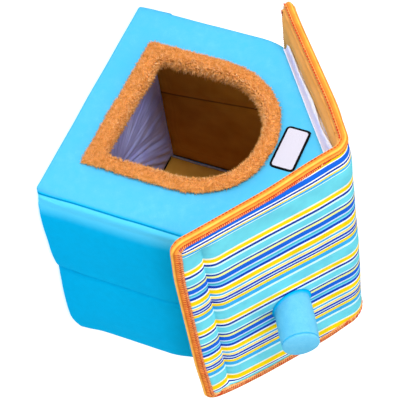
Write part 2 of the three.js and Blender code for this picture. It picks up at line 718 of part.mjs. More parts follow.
add('front_wall', cutFrom(gablePanel(-1, 0), doorwayTool()), COLOURS.plush, 0.95);
add('back_wall', gablePanel(1, BACK_PUFF), COLOURS.plush, 0.95);
add('left_wall', sidePanel(-1), COLOURS.plush, 0.95);
add('right_wall', sidePanel(1), COLOURS.plush, 0.95);
add('base_pad', basePad(), COLOURS.plush, 0.95);
add('floor_lining', floorLining(), COLOURS.satin, 0.45);
add('lining_left', sideLining(-1), COLOURS.lining, 0.8);
add('lining_right', sideLining(1), COLOURS.lining, 0.8);
add('lining_front', cutFrom(gableLining(-1), doorwayTool()), COLOURS.lining, 0.8);
add('lining_back', gableLining(1), COLOURS.lining, 0.8);
add('door_trim', doorTrim(), COLOURS.trim, 1);
add('label_patch', labelPatch(), COLOURS.label, 0.7);
add('gusset_front', gableGusset(-1), COLOURS.satin, 0.5);
add('gusset_back', gableGusset(1), COLOURS.satin, 0.5);
add('gusset_left', sideGusset(-1), COLOURS.satin, 0.5);
add('gusset_right', sideGusset(1), COLOURS.satin, 0.5);
add('roof_lining', roofLining(), COLOURS.roofLining, 0.8);
add('roof_pad', roofPad(), COLOURS.roof, 0.9);
add('roof_binding', roofBinding(), COLOURS.binding, 0.7);
add('chimney', chimney(), COLOURS.plush, 0.95);

export default house;
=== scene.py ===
# %% [markdown]
# # A soft house for a small pet
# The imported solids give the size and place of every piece. This lesson dresses them: plush walls are
# filled by a cloth simulation, the roof is quilted, striped and bound, the doorway gets its fleece, and
# the linings get their folds. All lengths are in metres.

import math
import random

import bmesh
import bpy
from mathutils import Color, Matrix, Vector, noise
from mathutils.bvhtree import BVHTree


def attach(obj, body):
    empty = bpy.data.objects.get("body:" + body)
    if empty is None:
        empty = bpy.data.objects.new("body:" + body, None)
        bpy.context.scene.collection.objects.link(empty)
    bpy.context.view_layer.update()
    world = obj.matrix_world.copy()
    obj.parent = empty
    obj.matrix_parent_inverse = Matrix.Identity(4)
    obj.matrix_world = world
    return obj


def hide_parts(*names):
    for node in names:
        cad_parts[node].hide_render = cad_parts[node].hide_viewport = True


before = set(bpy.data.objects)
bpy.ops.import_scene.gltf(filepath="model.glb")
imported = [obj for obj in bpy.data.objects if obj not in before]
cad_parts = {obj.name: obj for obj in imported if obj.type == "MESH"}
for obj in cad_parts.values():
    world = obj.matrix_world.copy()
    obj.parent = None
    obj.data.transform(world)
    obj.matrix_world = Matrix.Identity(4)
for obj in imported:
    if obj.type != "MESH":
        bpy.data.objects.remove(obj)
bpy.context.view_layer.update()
scene = bpy.context.scene

# %% [markdown]
# ## Camera
# The photograph was taken from the right of the doorway and a little above, with a long lens, and the
# picture is turned so that the house's ridge points to the right. A camera that looks at a point and is
# then rolled about its own axis says exactly that.

# %% Camera
EYE = Vector((1.2377, -2.0530, 0.9222))
AIM = Vector((0.0123, -0.0090, 0.1668))
CAMERA_ROLL = math.radians(106.42)

camera = bpy.data.objects.new("camera", bpy.data.cameras.new("camera"))
scene.collection.objects.link(camera)
camera.data.lens = 148.5
camera.data.sensor_width = 36.0
look = (AIM - EYE).to_track_quat("-Z", "Y").to_matrix().to_4x4()
camera.matrix_world = Matrix.Translation(EYE) @ look @ Matrix.Rotation(CAMERA_ROLL, 4, "Z")
scene.camera = camera
print("camera distance", round((AIM - EYE).length, 3))

# %% [markdown]
# ## Floor and light
# The house stands on a plain white floor under soft studio light. A wide light from above fills the roof
# and the floor evenly, a low lamp straight ahead lights the front wall and reaches in through the doorway,
# and a weak white world fills the shaded side. The plain view transform keeps strong colours.

# %% Floor and light
FLOOR_SIZE = 12.0
OVERHEAD = {"from": Vector((0.36, -0.1, 0.92)), "angle": 80, "strength": 2.1}
KEY = {"at": Vector((0.1, -3.4, 1.45)), "size": 1.4, "watts": 94}
WORLD_STRENGTH = 0.2
FLOOR_GLOW = 0.72  # a backlit floor, so that no shadow shows


def add_lamp(name, kind, at, **settings):
    light = bpy.data.lights.new(name, kind)
    for key, value in settings.items():
        setattr(light, key, value)
    lamp = bpy.data.objects.new(name, light)
    scene.collection.objects.link(lamp)
    lamp.location = at
    lamp.rotation_euler = (AIM - at).to_track_quat("-Z", "Y").to_euler()


scene.view_settings.view_transform = "Standard"
world = bpy.data.worlds.new("light_tent")
world.use_nodes = True
world.node_tree.nodes["Background"].inputs["Color"].default_value = (0.96, 0.98, 1, 1)
world.node_tree.nodes["Background"].inputs["Strength"].default_value = WORLD_STRENGTH
scene.world = world

add_lamp("overhead", "SUN", AIM + 3 * OVERHEAD["from"], energy=OVERHEAD["strength"],
         angle=math.radians(OVERHEAD["angle"]))
add_lamp("key_lamp", "AREA", KEY["at"], energy=KEY["watts"], size=KEY["size"])
print("lights", [light.name for light in bpy.data.lights])

# %% [markdown]
# ## Helpers for meshes
# A padded piece starts as a copy of its solid, and a cloth starts as a grid whose points are laid out by
# a rule. Both end as plain meshes at the origin, so the helpers also turn modifiers into real points.

# %% Helpers for meshes
def ease(low, high, x):
    """Goes smoothly from 0 at low to 1 at high."""
    t = min(1.0, max(0.0, (x - low) / (high - low)))
    return t * t * (3 - 2 * t)


def lerp(a, b, t):
    return a + (b - a) * t


def piece_from(bm, name):
    mesh = bpy.data.meshes.new(name)
    bm.to_mesh(mesh)
    bm.free()
    piece = bpy.data.objects.new(name, mesh)
    scene.collection.objects.link(piece)
    return piece


def copy_solid(node, name):
    """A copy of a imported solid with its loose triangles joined."""
    bm = bmesh.new()
    bm.from_mesh(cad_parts[node].data)
    bmesh.ops.remove_doubles(bm, verts=bm.verts, dist=1e-5)
    return piece_from(bm, name)


def keep_result(piece):
    """Turns a piece's modifiers into its own points."""
    graph = bpy.context.evaluated_depsgraph_get()
    result = bpy.data.meshes.new_from_object(
        piece.evaluated_get(graph), preserve_all_data_layers=True, depsgraph=graph)
    piece.modifiers.clear()
    piece.data = result


def subdivide(piece):
    step = piece.modifiers.new("finer", "SUBSURF")
    step.levels = step.render_levels = 1
    keep_result(piece)


def sculpt(piece, move):
    """Moves every point by what move(place, outward) gives."""
    outward = [vert.normal.copy() for vert in piece.data.vertices]
    for vert, normal in zip(piece.data.vertices, outward):
        vert.co += move(vert.co, normal)
    piece.data.update()


def lumps(place, size, seed=0.0):
    """Soft unevenness from -1 to 1, about size across."""
    return noise.noise(place / size + Vector((seed, seed, seed)))


def laid_grid(name, across, along, place, thick=0.0, keep=None):
    """A grid whose points place(u, v) lays out, u and v from 0 to 1, with seams joined and a thickness.
    keep names an attribute that remembers v."""
    bm = bmesh.new()
    bmesh.ops.create_grid(bm, x_segments=across, y_segments=along, size=0.5)
    kept = bm.verts.layers.float.new(keep) if keep else None
    for vert in bm.verts:
        u, v = vert.co.x + 0.5, vert.co.y + 0.5
        vert.co = place(u, v)
        if keep:
            vert[kept] = v
    bmesh.ops.remove_doubles(bm, verts=bm.verts, dist=1e-6)
    bmesh.ops.recalc_face_normals(bm, faces=bm.faces)
    if thick:
        bmesh.ops.solidify(bm, geom=bm.faces[:], thickness=thick)
        bmesh.ops.recalc_face_normals(bm, faces=bm.faces)
    return piece_from(bm, name)


def dress(piece, finish, slot, *nodes):
    """Gives a finished piece its material and its body, and hides the solids that it stands for."""
    if len(piece.data.materials):
        piece.data.materials[0] = finish
    else:
        piece.data.materials.append(finish)
    piece.data.shade_smooth()
    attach(piece, "root")
    if nodes:
        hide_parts(*nodes)
    print(piece.name, len(piece.data.polygons), "faces")


# %% [markdown]
# ## Filling a padded piece
# A stuffed panel is a closed bag under pressure, held where it is sewn to its neighbours. Blender's cloth
# can blow it up the same way: the copy gets an even mesh, points that lie close to another piece are
# pinned, and a light pressure swells the rest. How far a point may move is capped, so that a panel never
# grows into the next one.

# %% Filling a padded piece
FRAMES = 20
PRESSURE = 4.0
HELD_WITHIN = 0.004
FREE_BEYOND = 0.028


def neighbours(*own):
    """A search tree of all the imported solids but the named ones."""
    points, faces = [], []
    for name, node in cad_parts.items():
        if name not in own:
            start = len(points)
            points += [vert.co for vert in node.data.vertices]
            faces += [[start + i for i in face.vertices] for face in node.data.polygons]
    return BVHTree.FromPolygons(points, faces)


def even_mesh(piece, size):
    step = piece.modifiers.new("even_mesh", "REMESH")
    step.mode = "VOXEL"
    step.voxel_size = size
    keep_result(piece)


def fill(piece, node, cap, sewn=lambda place: 0.0):
    """Swells a padded piece by cloth pressure; sewn(place) is 1 where a seam holds it."""
    near = neighbours(node)
    rest = [vert.co.copy() for vert in piece.data.vertices]
    pins = piece.vertex_groups.new(name="sewn")
    for i, place in enumerate(rest):
        held = 1 - ease(HELD_WITHIN, FREE_BEYOND, near.find_nearest(place)[3])
        grounded = 1 - ease(0.002, 0.02, place.z)
        pins.add([i], max(held, grounded, sewn(place)), "REPLACE")
    cloth = piece.modifiers.new("filling", "CLOTH")
    cloth.settings.use_pressure = True
    cloth.settings.uniform_pressure_force = PRESSURE
    cloth.settings.effector_weights.gravity = 0
    cloth.settings.vertex_group_mass = "sewn"
    cloth.collision_settings.use_collision = False
    cloth.point_cache.frame_end = FRAMES
    for step in range(1, FRAMES + 1):
        scene.frame_set(step)
    swollen = piece.evaluated_get(bpy.context.evaluated_depsgraph_get()).data
    moved = [vert.co - place for vert, place in zip(swollen.vertices, rest)]
    piece.modifiers.clear()
    piece.vertex_groups.clear()
    scene.frame_set(1)
    far = max(move.length for move in moved)
    for vert, place, move in zip(piece.data.vertices, rest, moved):
        vert.co = place + move * (cap / max(cap, move.length))
    piece.data.update()
    print(piece.name, "swelled by", round(far * 1000, 1), "mm, kept under", cap * 1000)


# %% [markdown]
# ## Helpers for finishes
# Every finish is a few procedural nodes on the piece's own coordinates or attributes. Small helpers keep
# the node code short: one makes a node and wires its sockets, one starts a material, and the others are
# the few kinds of texture and sum that come again and again.

# %% Helpers for finishes
def paint(code):
    """A screen colour such as 6FD6FF as the linear colour that a shader takes."""
    parts = [int(code[i:i + 2], 16) / 255 for i in (0, 2, 4)]
    return (*Color(parts).from_srgb_to_scene_linear(), 1.0)


def add_node(tree, kind, sockets=None, **settings):
    made = tree.nodes.new(kind if "Node" in kind else "ShaderNode" + kind)
    for name, value in settings.items():
        setattr(made, name, value)
    for key, value in (sockets or {}).items():
        if isinstance(value, bpy.types.NodeSocket):
            tree.links.new(value, made.inputs[key])
        else:
            made.inputs[key].default_value = value
    return made


def start_finish(name, roughness, sheen=0.0, gloss=0.2):
    material = bpy.data.materials.new(name)
    material.use_nodes = True
    shader = material.node_tree.nodes["Principled BSDF"]
    shader.inputs["Roughness"].default_value = roughness
    shader.inputs["Sheen Weight"].default_value = sheen
    shader.inputs["Sheen Roughness"].default_value = 0.45
    shader.inputs["Specular IOR Level"].default_value = gloss
    return material, material.node_tree, shader


def own_place(tree):
    return add_node(tree, "TexCoord").outputs["Object"]


def grain(tree, place, scale, detail=2.0):
    node = add_node(tree, "TexNoise", {"Vector": place, "Scale": scale, "Detail": detail})
    return node.outputs["Fac"]


def tones(tree, value, *stops, steps="LINEAR"):
    """Colours at places of a value from 0 to 1, given as (place, colour code)."""
    node = add_node(tree, "ValToRGB", {"Fac": value})
    ramp = node.color_ramp
    ramp.interpolation = steps
    while len(ramp.elements) > 1:
        ramp.elements.remove(ramp.elements[-1])
    for i, (place, code) in enumerate(stops):
        stop = ramp.elements[0] if i == 0 else ramp.elements.new(place)
        stop.position = place
        stop.color = paint(code)
    return node.outputs["Color"]


def mix(tree, factor, low, high, how="MIX"):
    node = add_node(tree, "MixRGB", {"Fac": factor, "Color1": low, "Color2": high}, blend_type=how)
    return node.outputs["Color"]


def maths(tree, how, a, b=0.0):
    return add_node(tree, "Math", {0: a, 1: b}, operation=how).outputs["Value"]


def blend(tree, a, share_a, b, share_b):
    """The sum of two values, each with its share."""
    return maths(tree, "ADD", maths(tree, "MULTIPLY", a, share_a), maths(tree, "MULTIPLY", b, share_b))


def uneven(tree, value, texture, amount):
    """A value made uneven by a texture that goes from 0 to 1."""
    return maths(tree, "ADD", value, maths(tree, "MULTIPLY", maths(tree, "SUBTRACT", texture, 0.5), amount))


def relief(tree, shader, height, depth, strength=1.0):
    bump = add_node(tree, "Bump", {"Height": height, "Distance": depth, "Strength": strength})
    tree.links.new(bump.outputs["Normal"], shader.inputs["Normal"])


# %% [markdown]
# ## Blue plush
# The walls, the base and the chimney are short-pile plush over foam. The pile gives a fine grain. Light and
# shade are painted into the colour: light on the front wall and on faces turned towards the lamp, deep blue
# on faces turned away and in the fold line. How much light is painted is kept at every point of a piece, so
# one finish serves them all. The upright seams of the walls are a thin dark line in it, and behind the front
# ones the wall's rolled edge gets a painted highlight.

# %% Blue plush
SEAM = {"y": 0.172, "line": 0.0009, "half": 0.0035, "depth": 0.0014}
# Where the painted highlight on the side walls' rolled edge starts and where it has faded out.
ROLL_HIGHLIGHT = {"from": -0.158, "to": -0.132}
ON_SIDE = 0.165  # past this x a place belongs to a side wall


def seams_and_roll_highlight(tree, place):
    """1 on the seam lines of the side walls, and a painted highlight that goes from 1 to 0 over the rolled
    edge behind the front ones.
    """
    x, y, _ = add_node(tree, "SeparateXYZ", {"Vector": place}).outputs
    on_side = maths(tree, "GREATER_THAN", maths(tree, "ABSOLUTE", x), ON_SIDE)
    off_seam = maths(tree, "SUBTRACT", maths(tree, "ABSOLUTE", y), SEAM["y"])
    on_seam = maths(tree, "LESS_THAN", maths(tree, "ABSOLUTE", off_seam), SEAM["line"])
    roll = add_node(tree, "MapRange", {"Value": y, "From Min": ROLL_HIGHLIGHT["to"],
                                       "From Max": ROLL_HIGHLIGHT["from"]}, interpolation_type="SMOOTHSTEP")
    behind = maths(tree, "GREATER_THAN", y, SEAM["line"] - SEAM["y"])
    roll = maths(tree, "MULTIPLY", roll.outputs["Result"], behind)
    return maths(tree, "MULTIPLY", on_seam, on_side), maths(tree, "MULTIPLY", roll, on_side)


def plush_finish():
    material, tree, shader = start_finish("blue_plush", 0.95, gloss=0.02)
    place = own_place(tree)
    painted_light = add_node(tree, "Attribute", attribute_name="painted_light").outputs["Fac"]
    pile = grain(tree, place, 1100, 3)
    brushed = grain(tree, place, 90, 4)
    tone = uneven(tree, painted_light, pile, 0.3)
    tone = uneven(tree, tone, brushed, 0.2)
    tone = uneven(tree, tone, grain(tree, place, 11, 2), 0.12)
    seam, roll = seams_and_roll_highlight(tree, place)
    tone = maths(tree, "SUBTRACT", tone, maths(tree, "MULTIPLY", seam, 0.6))
    # Painted light: deep blue where shade is painted, light blue where light is painted.
    colour = tones(tree, tone, (0.0, "0086BC"), (0.1, "00A6DC"), (0.3, "00B2E8"), (0.8, "50B3E1"),
                   (1.0, "72C8EC"))
    # Painted highlight on the rolled edge behind each front seam.
    colour = mix(tree, roll, colour, paint("54C8F2"))
    tree.links.new(colour, shader.inputs["Base Color"])
    relief(tree, shader, blend(tree, pile, 1.0, brushed, 0.8), 0.0007, 0.45)
    return material


def paint_light(piece, lit):
    """Keeps at each point how much light is painted on the plush, from 0 to 1, as the given rule finds it
    from place and outward.
    """
    painted_light = piece.data.attributes.new("painted_light", "FLOAT", "POINT")
    painted_light.data.foreach_set("value", [lit(vert.co, vert.normal) for vert in piece.data.vertices])


BLUE_PLUSH = plush_finish()

# %% [markdown]
# ## How the walls swell
# A foam panel is never quite flat. These walls are fuller at the foot, on the left and towards the back,
# their lower corners are rounded, and a fold line and the seams are drawn in. A simulation alone wouldn't
# put this fullness in the right places, so rules say how far each point moves.

# %% How the walls swell
FACE = {"x": 0.180, "y": 0.182}
FOLD_LINE = {"y": 0.013, "half": 0.006, "depth": 0.0045}
SLACK = 0.0007
FOOT = {"wave": 0.002, "high": 0.06, "left": 0.1}
JOINT = {"y": 0.161, "half": 0.018, "face": 0.1800}
SWELL = {"foot": 0.0055, "left": 0.0075, "back": 0.0040, "side": 0.003}
BACK_HALF = (0.03, 0.13)
ON_LEFT = (0.150, 0.178)
BELOW_ROOF = {"side": (0.17, 0.22), "left": (0.20, 0.245)}
ROUNDING = {"long": (0.005, 0.10), "high": (0.005, 0.048), "upright": 0.010, "side": (0.014, 0.004)}


def near_line(line, place, full, none):
    """1 at an upright line on the side faces, 0 away from it."""
    return 1 - ease(full, none, abs(abs(place.y) - line["y"]))


def rounded(u, w, radius):
    """Two distances inside two faces, moved on to the round edge between the faces."""
    corner = Vector((radius - u, radius - w))
    if min(corner) > 0 and corner.length > radius:
        corner *= radius / corner.length
    return radius - corner.x, radius - corner.y


def foot_swell(place):
    """How far a foot is pressed out to its side, and how far to the front or the back."""
    foot = SWELL["foot"] * (1 - ease(0, FOOT["high"], place.z))
    unfolded = ease(-0.01, 0.06, abs(place.y - FOLD_LINE["y"]))
    side = FOOT["left"] if place.x < 0 else ease(-0.17, -0.08, place.y) * unfolded
    return foot * side, foot


def round_feet(place, outward):
    """Rounds the lower edges and the upright corners, most of all at the back."""
    back = ease(*BACK_HALF, place.y)
    foot_x, foot_y = foot_swell(place)
    face_x = FACE["x"] + foot_x + SWELL["back"] * back + (SWELL["left"] if place.x < 0 else 0)
    face_y = FACE["y"] + foot_y + SWELL["back"] * back
    long, high = lerp(*ROUNDING["long"], back), lerp(*ROUNDING["high"], back)
    dx, dy, dz = face_x - abs(place.x), face_y - abs(place.y), place.z
    dy, dz = rounded(dy / long, dz / high, 1)
    dx, dy = rounded(dx, dy * long, ROUNDING["upright"])
    dx, dz = rounded(dx, dz * high, lerp(*ROUNDING["side"], ease(-0.17, -0.14, place.y)))
    return Vector((math.copysign(face_x - dx, place.x), math.copysign(face_y - dy, place.y), dz)) - place


def wall_swell(place, level):
    """How far the foam pushes an outer face out: at its foot, on the left and in the back half."""
    if level.dot(place) < 0:
        return Vector()
    below_roof = 1 - ease(*BELOW_ROOF["side"], place.z)
    back = SWELL["back"] * ease(*BACK_HALF, place.y) * below_roof
    left = SWELL["left"] * ease(*ON_LEFT, -place.x) * (1 - ease(*BELOW_ROOF["left"], place.z))
    left *= lerp(0.5, 1, ease(0, 0.05, place.z))
    side = SWELL["side"] * ease(-SEAM["y"], -0.13, place.y) * below_roof * level.x
    foot_x, foot_y = foot_swell(place)
    return Vector((level.x * (foot_x + back) + side - left, level.y * (foot_y + back), 0))


def wall_slack(place, outward):
    """The slack of the foam, the fold line, the swelling and the drawn-in seams of an outer face."""
    sway = SLACK * lumps(place, 0.07) + 0.4 * SLACK * lumps(place, 0.025, 5.0)
    on_side = abs(outward.x) > 0.8
    off = abs(place.y - FOLD_LINE["y"] - 0.004 * lumps(place, 0.12)) / FOLD_LINE["half"]
    groove = FOLD_LINE["depth"] * max(0.0, 1 - off) if on_side else 0.0
    grounded = ease(0.003, 0.03, place.z)
    moved = outward * (sway * grounded - groove)
    level = Vector((outward.x, outward.y, 0))
    moved += level * FOOT["wave"] * lumps(place, 0.07, 9.0) * (1 - ease(0, 0.05, place.z))
    moved += wall_swell(place, level)
    if abs(place.x) > ON_SIDE:
        joint = near_line(JOINT, place, 0.003, JOINT["half"])
        short = max(0.0, JOINT["face"] - abs(place.x)) * ease(0.1, 0.5, abs(outward.x))
        seam = near_line(SEAM, place, 0, SEAM["half"]) * abs(outward.x)
        moved.x += math.copysign(short * joint - SEAM["depth"] * seam, place.x)
        moved.z -= joint * place.z * (1 - ease(0.004, 0.010, place.z))
    return moved


# %% [markdown]
# ## Walls and base
# Four padded panels stand round a padded floor. The front and back panels turn the upright corners, and
# the side panels have one soft fold down the middle where the house folds flat. After the filling, one
# subdivision rounds the mesh, the side panels are stretched into their seams, and sculpting by the rules
# above gives the fold line and the rounded feet. The base stays coarse, because the satin hides it.

# %% Walls and base
# Painted light: which way the light is painted from, how much is painted on faces turned away from it and on
# faces turned towards it, and how much painted shade darkens the fold line.
TOWARDS_LIGHT = Vector((-0.45, -0.88, 0.15))
PAINTED_LIGHT = {"low": 0.2, "high": 0.78, "fold": 0.2}


def wall_painted_light(place, outward):
    """Painted light: light on the front wall and where a face turns towards the lamp, painted shade in the
    fold line.
    """
    on_front = 1 - ease(-SEAM["y"] - 0.004, -SEAM["y"], place.y)
    facing = ease(-0.2, 0.8, outward.dot(TOWARDS_LIGHT))
    lit = max(lerp(PAINTED_LIGHT["low"], PAINTED_LIGHT["high"], facing), PAINTED_LIGHT["high"] * on_front)
    folded = 1 - ease(0, FOLD_LINE["half"], abs(place.y - FOLD_LINE["y"]))
    return lit - PAINTED_LIGHT["fold"] * folded if abs(place.x) > ON_SIDE else lit


WALLS = [
    {"node": "front_wall", "cap": 0.002, "stretch": 0.0},
    {"node": "back_wall", "cap": 0.004, "stretch": 0.0},
    {"node": "left_wall", "cap": 0.003, "stretch": 0.016},
    {"node": "right_wall", "cap": 0.0025, "stretch": 0.016},
    {"node": "base_pad", "cap": 0.0005, "stretch": 0.0},
]
WALL_MESH = 0.005
panels = {}
for row in WALLS:
    panel = copy_solid(row["node"], row["node"] + "_padded")
    even_mesh(panel, WALL_MESH)
    fill(panel, row["node"], row["cap"])
    if row["node"] != "base_pad":
        subdivide(panel)
    sculpt(panel, lambda place, outward: Vector((0, place.y * row["stretch"], 0)))
    sculpt(panel, wall_slack)
    sculpt(panel, round_feet)
    # Paints light and shade into the plush by which way each point faces.
    paint_light(panel, wall_painted_light)
    dress(panel, BLUE_PLUSH, "blue_plush", row["node"])
    panels[row["node"]] = panel

# %% [markdown]
# ## Linings
# The walls are lined with plain brown cloth and the floor with white satin. A lining is a sheet, so it is
# laid out as a grid and given its thickness. The side linings repeat the wall's fold line, and all of
# them hang a little slack.

# %% Linings
MM = 0.001
CLOTH = 1.5 * MM
LINED = 152.2 * MM  # half the room between the lining's outer faces
ROOM = 153.4 * MM
LINING_FOOT = 24.6 * MM
CREASE = {"y": -14 * MM, "lean": -0.15, "half": 13 * MM}
GABLE = {"top": 376 * MM, "slope": 140 / 180, "round": 0.010}


def gable_top(x):
    """The lining's upper edge under the gable's slope, rounded at the ridge."""
    away = max(abs(x), 0.35 * GABLE["round"] + 0.65 * abs(x) if abs(x) < GABLE["round"] else 0)
    return GABLE["top"] - GABLE["slope"] * away


def lining_finish(name, dark, light, pitch):
    material, tree, shader = start_finish(name, 0.9, gloss=0.08)
    place = own_place(tree)
    across = add_node(tree, "TexWave", {"Vector": place, "Scale": pitch}, bands_direction="X")
    down = add_node(tree, "TexWave", {"Vector": place, "Scale": pitch}, bands_direction="Z")
    along = add_node(tree, "TexWave", {"Vector": place, "Scale": pitch}, bands_direction="Y")
    weave = maths(tree, "ADD", across.outputs["Fac"], down.outputs["Fac"])
    weave = maths(tree, "ADD", weave, along.outputs["Fac"])
    wear = grain(tree, place, 26, 4)
    tone = blend(tree, weave, 0.08, wear, 0.8)
    colour = tones(tree, tone, (0.3, dark), (0.75, light))
    # Painted shade: the cloth is darkened along the crease line.
    axes = add_node(tree, "SeparateXYZ", {"Vector": place}).outputs
    fold_y = maths(tree, "ADD", maths(tree, "MULTIPLY", axes["Z"], CREASE["lean"]), CREASE["y"])
    off_fold = maths(tree, "ABSOLUTE", maths(tree, "SUBTRACT", axes["Y"], fold_y))
    crease_shade = tones(tree, maths(tree, "DIVIDE", off_fold, CREASE["half"]), (0.06, "A89C90"), (0.22, "FFFFFF"))
    colour = mix(tree, 1.0, colour, crease_shade, "MULTIPLY")
    tree.links.new(colour, shader.inputs["Base Color"])
    relief(tree, shader, weave, 0.0002, 0.4)
    return material


BROWN_LINING = lining_finish("brown_lining", "B8741A", "D29232", 420)
# The back lining is the same brown cloth in a lighter copy, as painted light that falls on it through the
# doorway.
LIT_BROWN_LINING = lining_finish("lit_brown_lining", "D0902E", "EDB04C", 420)


def side_lining(hand):
    def place(u, v):
        y = lerp(-LINED + CLOTH, LINED - CLOTH, u)
        z = lerp(LINING_FOOT, gable_top(ROOM), v)
        crease = max(0.0, 1 - abs(y - CREASE["y"] - CREASE["lean"] * z) / CREASE["half"]) ** 0.7
        edge = min(1.0, 8 * min(u, 1 - u, v, 1 - v))
        slack = (0.9 * lumps(Vector((hand, y, z)), 0.06) - 0.9 - 2.2 * (1 - crease)) * MM * edge
        return Vector((hand * (ROOM + slack), y, z))
    return place


def back_lining(u, v):
    x = lerp(-LINED, LINED, u)
    z = lerp(LINING_FOOT, gable_top(x), v)
    edge = min(1.0, 8 * min(u, 1 - u, v, 1 - v))
    slack = (1.0 * lumps(Vector((x, 9, z)), 0.07) - 1.0) * MM * edge
    return Vector((x, ROOM + slack, z))


for node, hand in (("lining_left", -1), ("lining_right", 1)):
    cloth = laid_grid(node + "_cloth", 72, 48, side_lining(hand), thick=hand * CLOTH)
    dress(cloth, BROWN_LINING, "brown_lining", node)

cloth = laid_grid("lining_back_cloth", 72, 64, back_lining, thick=CLOTH)
dress(cloth, LIT_BROWN_LINING, "brown_lining", "lining_back")

cloth = copy_solid("lining_front", "lining_front_cloth")
dress(cloth, BROWN_LINING, "brown_lining", "lining_front")

# %% [markdown]
# ## Satin floor
# The floor cloth lies loose on the base and is gathered at one point near its middle, so its wrinkles run
# out from there like the rays of a fan, finer ones between the first ones further out, and one large fold
# points to the back left. A smooth noise read round a circle gives uneven rays that close on themselves.
# At the sides the satin turns up against the linings, so that no gap shows.

# %% Satin floor
FLOOR_TOP = 24.3 * MM
FLOOR_REACH = 151.8 * MM
GATHER = {"at": Vector((15, -20)) * MM, "rays": 96, "high": 3.0 * MM, "from": 12 * MM, "full": 55 * MM}
TURN_UP = {"high": 3 * MM, "wide": 6 * MM}
LARGE_FOLD = {"angle": math.radians(138), "half": 0.11, "high": 4.2 * MM}


def satin_finish(name, dark, light):
    material, tree, shader = start_finish(name, 0.55, gloss=0.25)
    place = own_place(tree)
    thread = add_node(tree, "Mapping", {"Vector": place, "Scale": (300, 2600, 1200)})
    weave = grain(tree, thread.outputs["Vector"], 1.0, 2)
    wear = grain(tree, place, 30, 3)
    tone = blend(tree, weave, 0.25, wear, 0.75)
    colour = tones(tree, tone, (0.3, dark), (0.7, light))
    tree.links.new(colour, shader.inputs["Base Color"])
    relief(tree, shader, weave, 0.00025, 0.35)
    return material


# The floor's satin is the gussets' white satin, painted darker and lavender as the shade inside the house.
SHADED_FLOOR_SATIN = satin_finish("floor_satin", "9EA4F6", "BCC4FF")


def floor_cloth(u, v):
    x, y = lerp(-FLOOR_REACH, FLOOR_REACH, u), lerp(-FLOOR_REACH, FLOOR_REACH - 0.004, v)
    off = Vector((x, y)) - GATHER["at"]
    angle, far = math.atan2(off.y, off.x), off.length
    circle = Vector((math.cos(angle), math.sin(angle), far / 1.6)) * GATHER["rays"] / 6
    rays = 0.45 + lumps(circle, 1.0, 3.0) + 0.6 * ease(60 * MM, 130 * MM, far) * lumps(circle, 0.45, 7.0)
    rise = GATHER["high"] * max(0.0, rays)
    rise += LARGE_FOLD["high"] * math.exp(-((angle - LARGE_FOLD["angle"]) / LARGE_FOLD["half"]) ** 2)
    rise *= ease(GATHER["from"], GATHER["full"], far)
    inside = min(1.0, 24 * min(u, 1 - u, v, 1 - v))
    turned_up = TURN_UP["high"] * ease(FLOOR_REACH - TURN_UP["wide"], FLOOR_REACH, abs(x))
    return Vector((x, y, FLOOR_TOP + CLOTH + rise * inside + turned_up))


cloth = laid_grid("floor_satin", 174, 174, floor_cloth, thick=CLOTH)
dress(cloth, SHADED_FLOOR_SATIN, "white_satin", "floor_lining")

# %% [markdown]
# ## The roof's own coordinates
# The roof is one pad folded over the ridge, so its seams, stripes and binding are easiest to place on the
# flat pad: a runs across from the ridge, y runs to the back, and h stands off the pad's middle. Folding
# and unfolding between flat and real places follows the same named sizes as the solids.

# %% The roof's own coordinates
ROOF_PITCH = math.atan2(147, 180)
UNDER_RIDGE = 398 * MM
FOLD_RADIUS = 23.05 * MM
FOLD_HEIGHT = UNDER_RIDGE - 12 * MM / math.cos(ROOF_PITCH)
FOLD_ARC = FOLD_RADIUS * ROOF_PITCH
HALF_DEPTH = 0.180
CORNERS = {
    "left": {"reach": (225 * MM, 219 * MM), "front": 42 * MM, "back": 22 * MM, "bow": 0.0,
             "droop": 1 * MM, "tip": -2 * MM},
    "right": {"reach": (212 * MM, 208 * MM), "front": 27 * MM, "back": 42 * MM, "bow": 9 * MM,
              "droop": 8 * MM, "tip": 2 * MM},
}
RIDGE = {"front": 54 * MM, "back": 35.5 * MM, "drawn": 10 * MM, "dip": 7 * MM, "dip_at": 25 * MM}
HANG = {"eave": 45 * MM, "inside": 70 * MM, "outside": 30 * MM, "ahead": 8 * MM, "ridge": 120 * MM}


def droop(x, y, a):
    """How far the eaves and the front of the ridge hang below the plain folded roof."""
    side = CORNERS["left" if x < 0 else "right"]
    past = max(0.0, abs(x) - HALF_DEPTH) / HANG["eave"]
    middle = 1 - ease(HALF_DEPTH - HANG["inside"], HALF_DEPTH + HANG["outside"], abs(y))
    ahead = ease(HANG["ahead"], RIDGE["front"], -HALF_DEPTH - y)
    near_ridge = 1 - ease(0, HANG["ridge"], abs(a - RIDGE["dip_at"]))
    return lerp(side["tip"], side["droop"], middle) * past ** 2 + RIDGE["dip"] * ahead * near_ridge


def fold(a, y, h):
    """The real place of a flat one."""
    turn = min(abs(a), FOLD_ARC) / FOLD_RADIUS
    down = max(0.0, abs(a) - FOLD_ARC)
    x = math.copysign((FOLD_RADIUS + h) * math.sin(turn) + down * math.cos(ROOF_PITCH), a)
    z = FOLD_HEIGHT + (FOLD_RADIUS + h) * math.cos(turn) - down * math.sin(ROOF_PITCH)
    return Vector((x, y, z - droop(x, y, a)))


def unfold(place):
    """The flat place of a real one, without the droop."""
    across, up = abs(place.x), place.z - FOLD_HEIGHT
    turn = math.atan2(across, up)
    if turn < ROOF_PITCH:
        return math.copysign(FOLD_RADIUS * turn, place.x), place.y
    down = across * math.cos(ROOF_PITCH) - up * math.sin(ROOF_PITCH)
    return math.copysign(FOLD_ARC + down, place.x), place.y


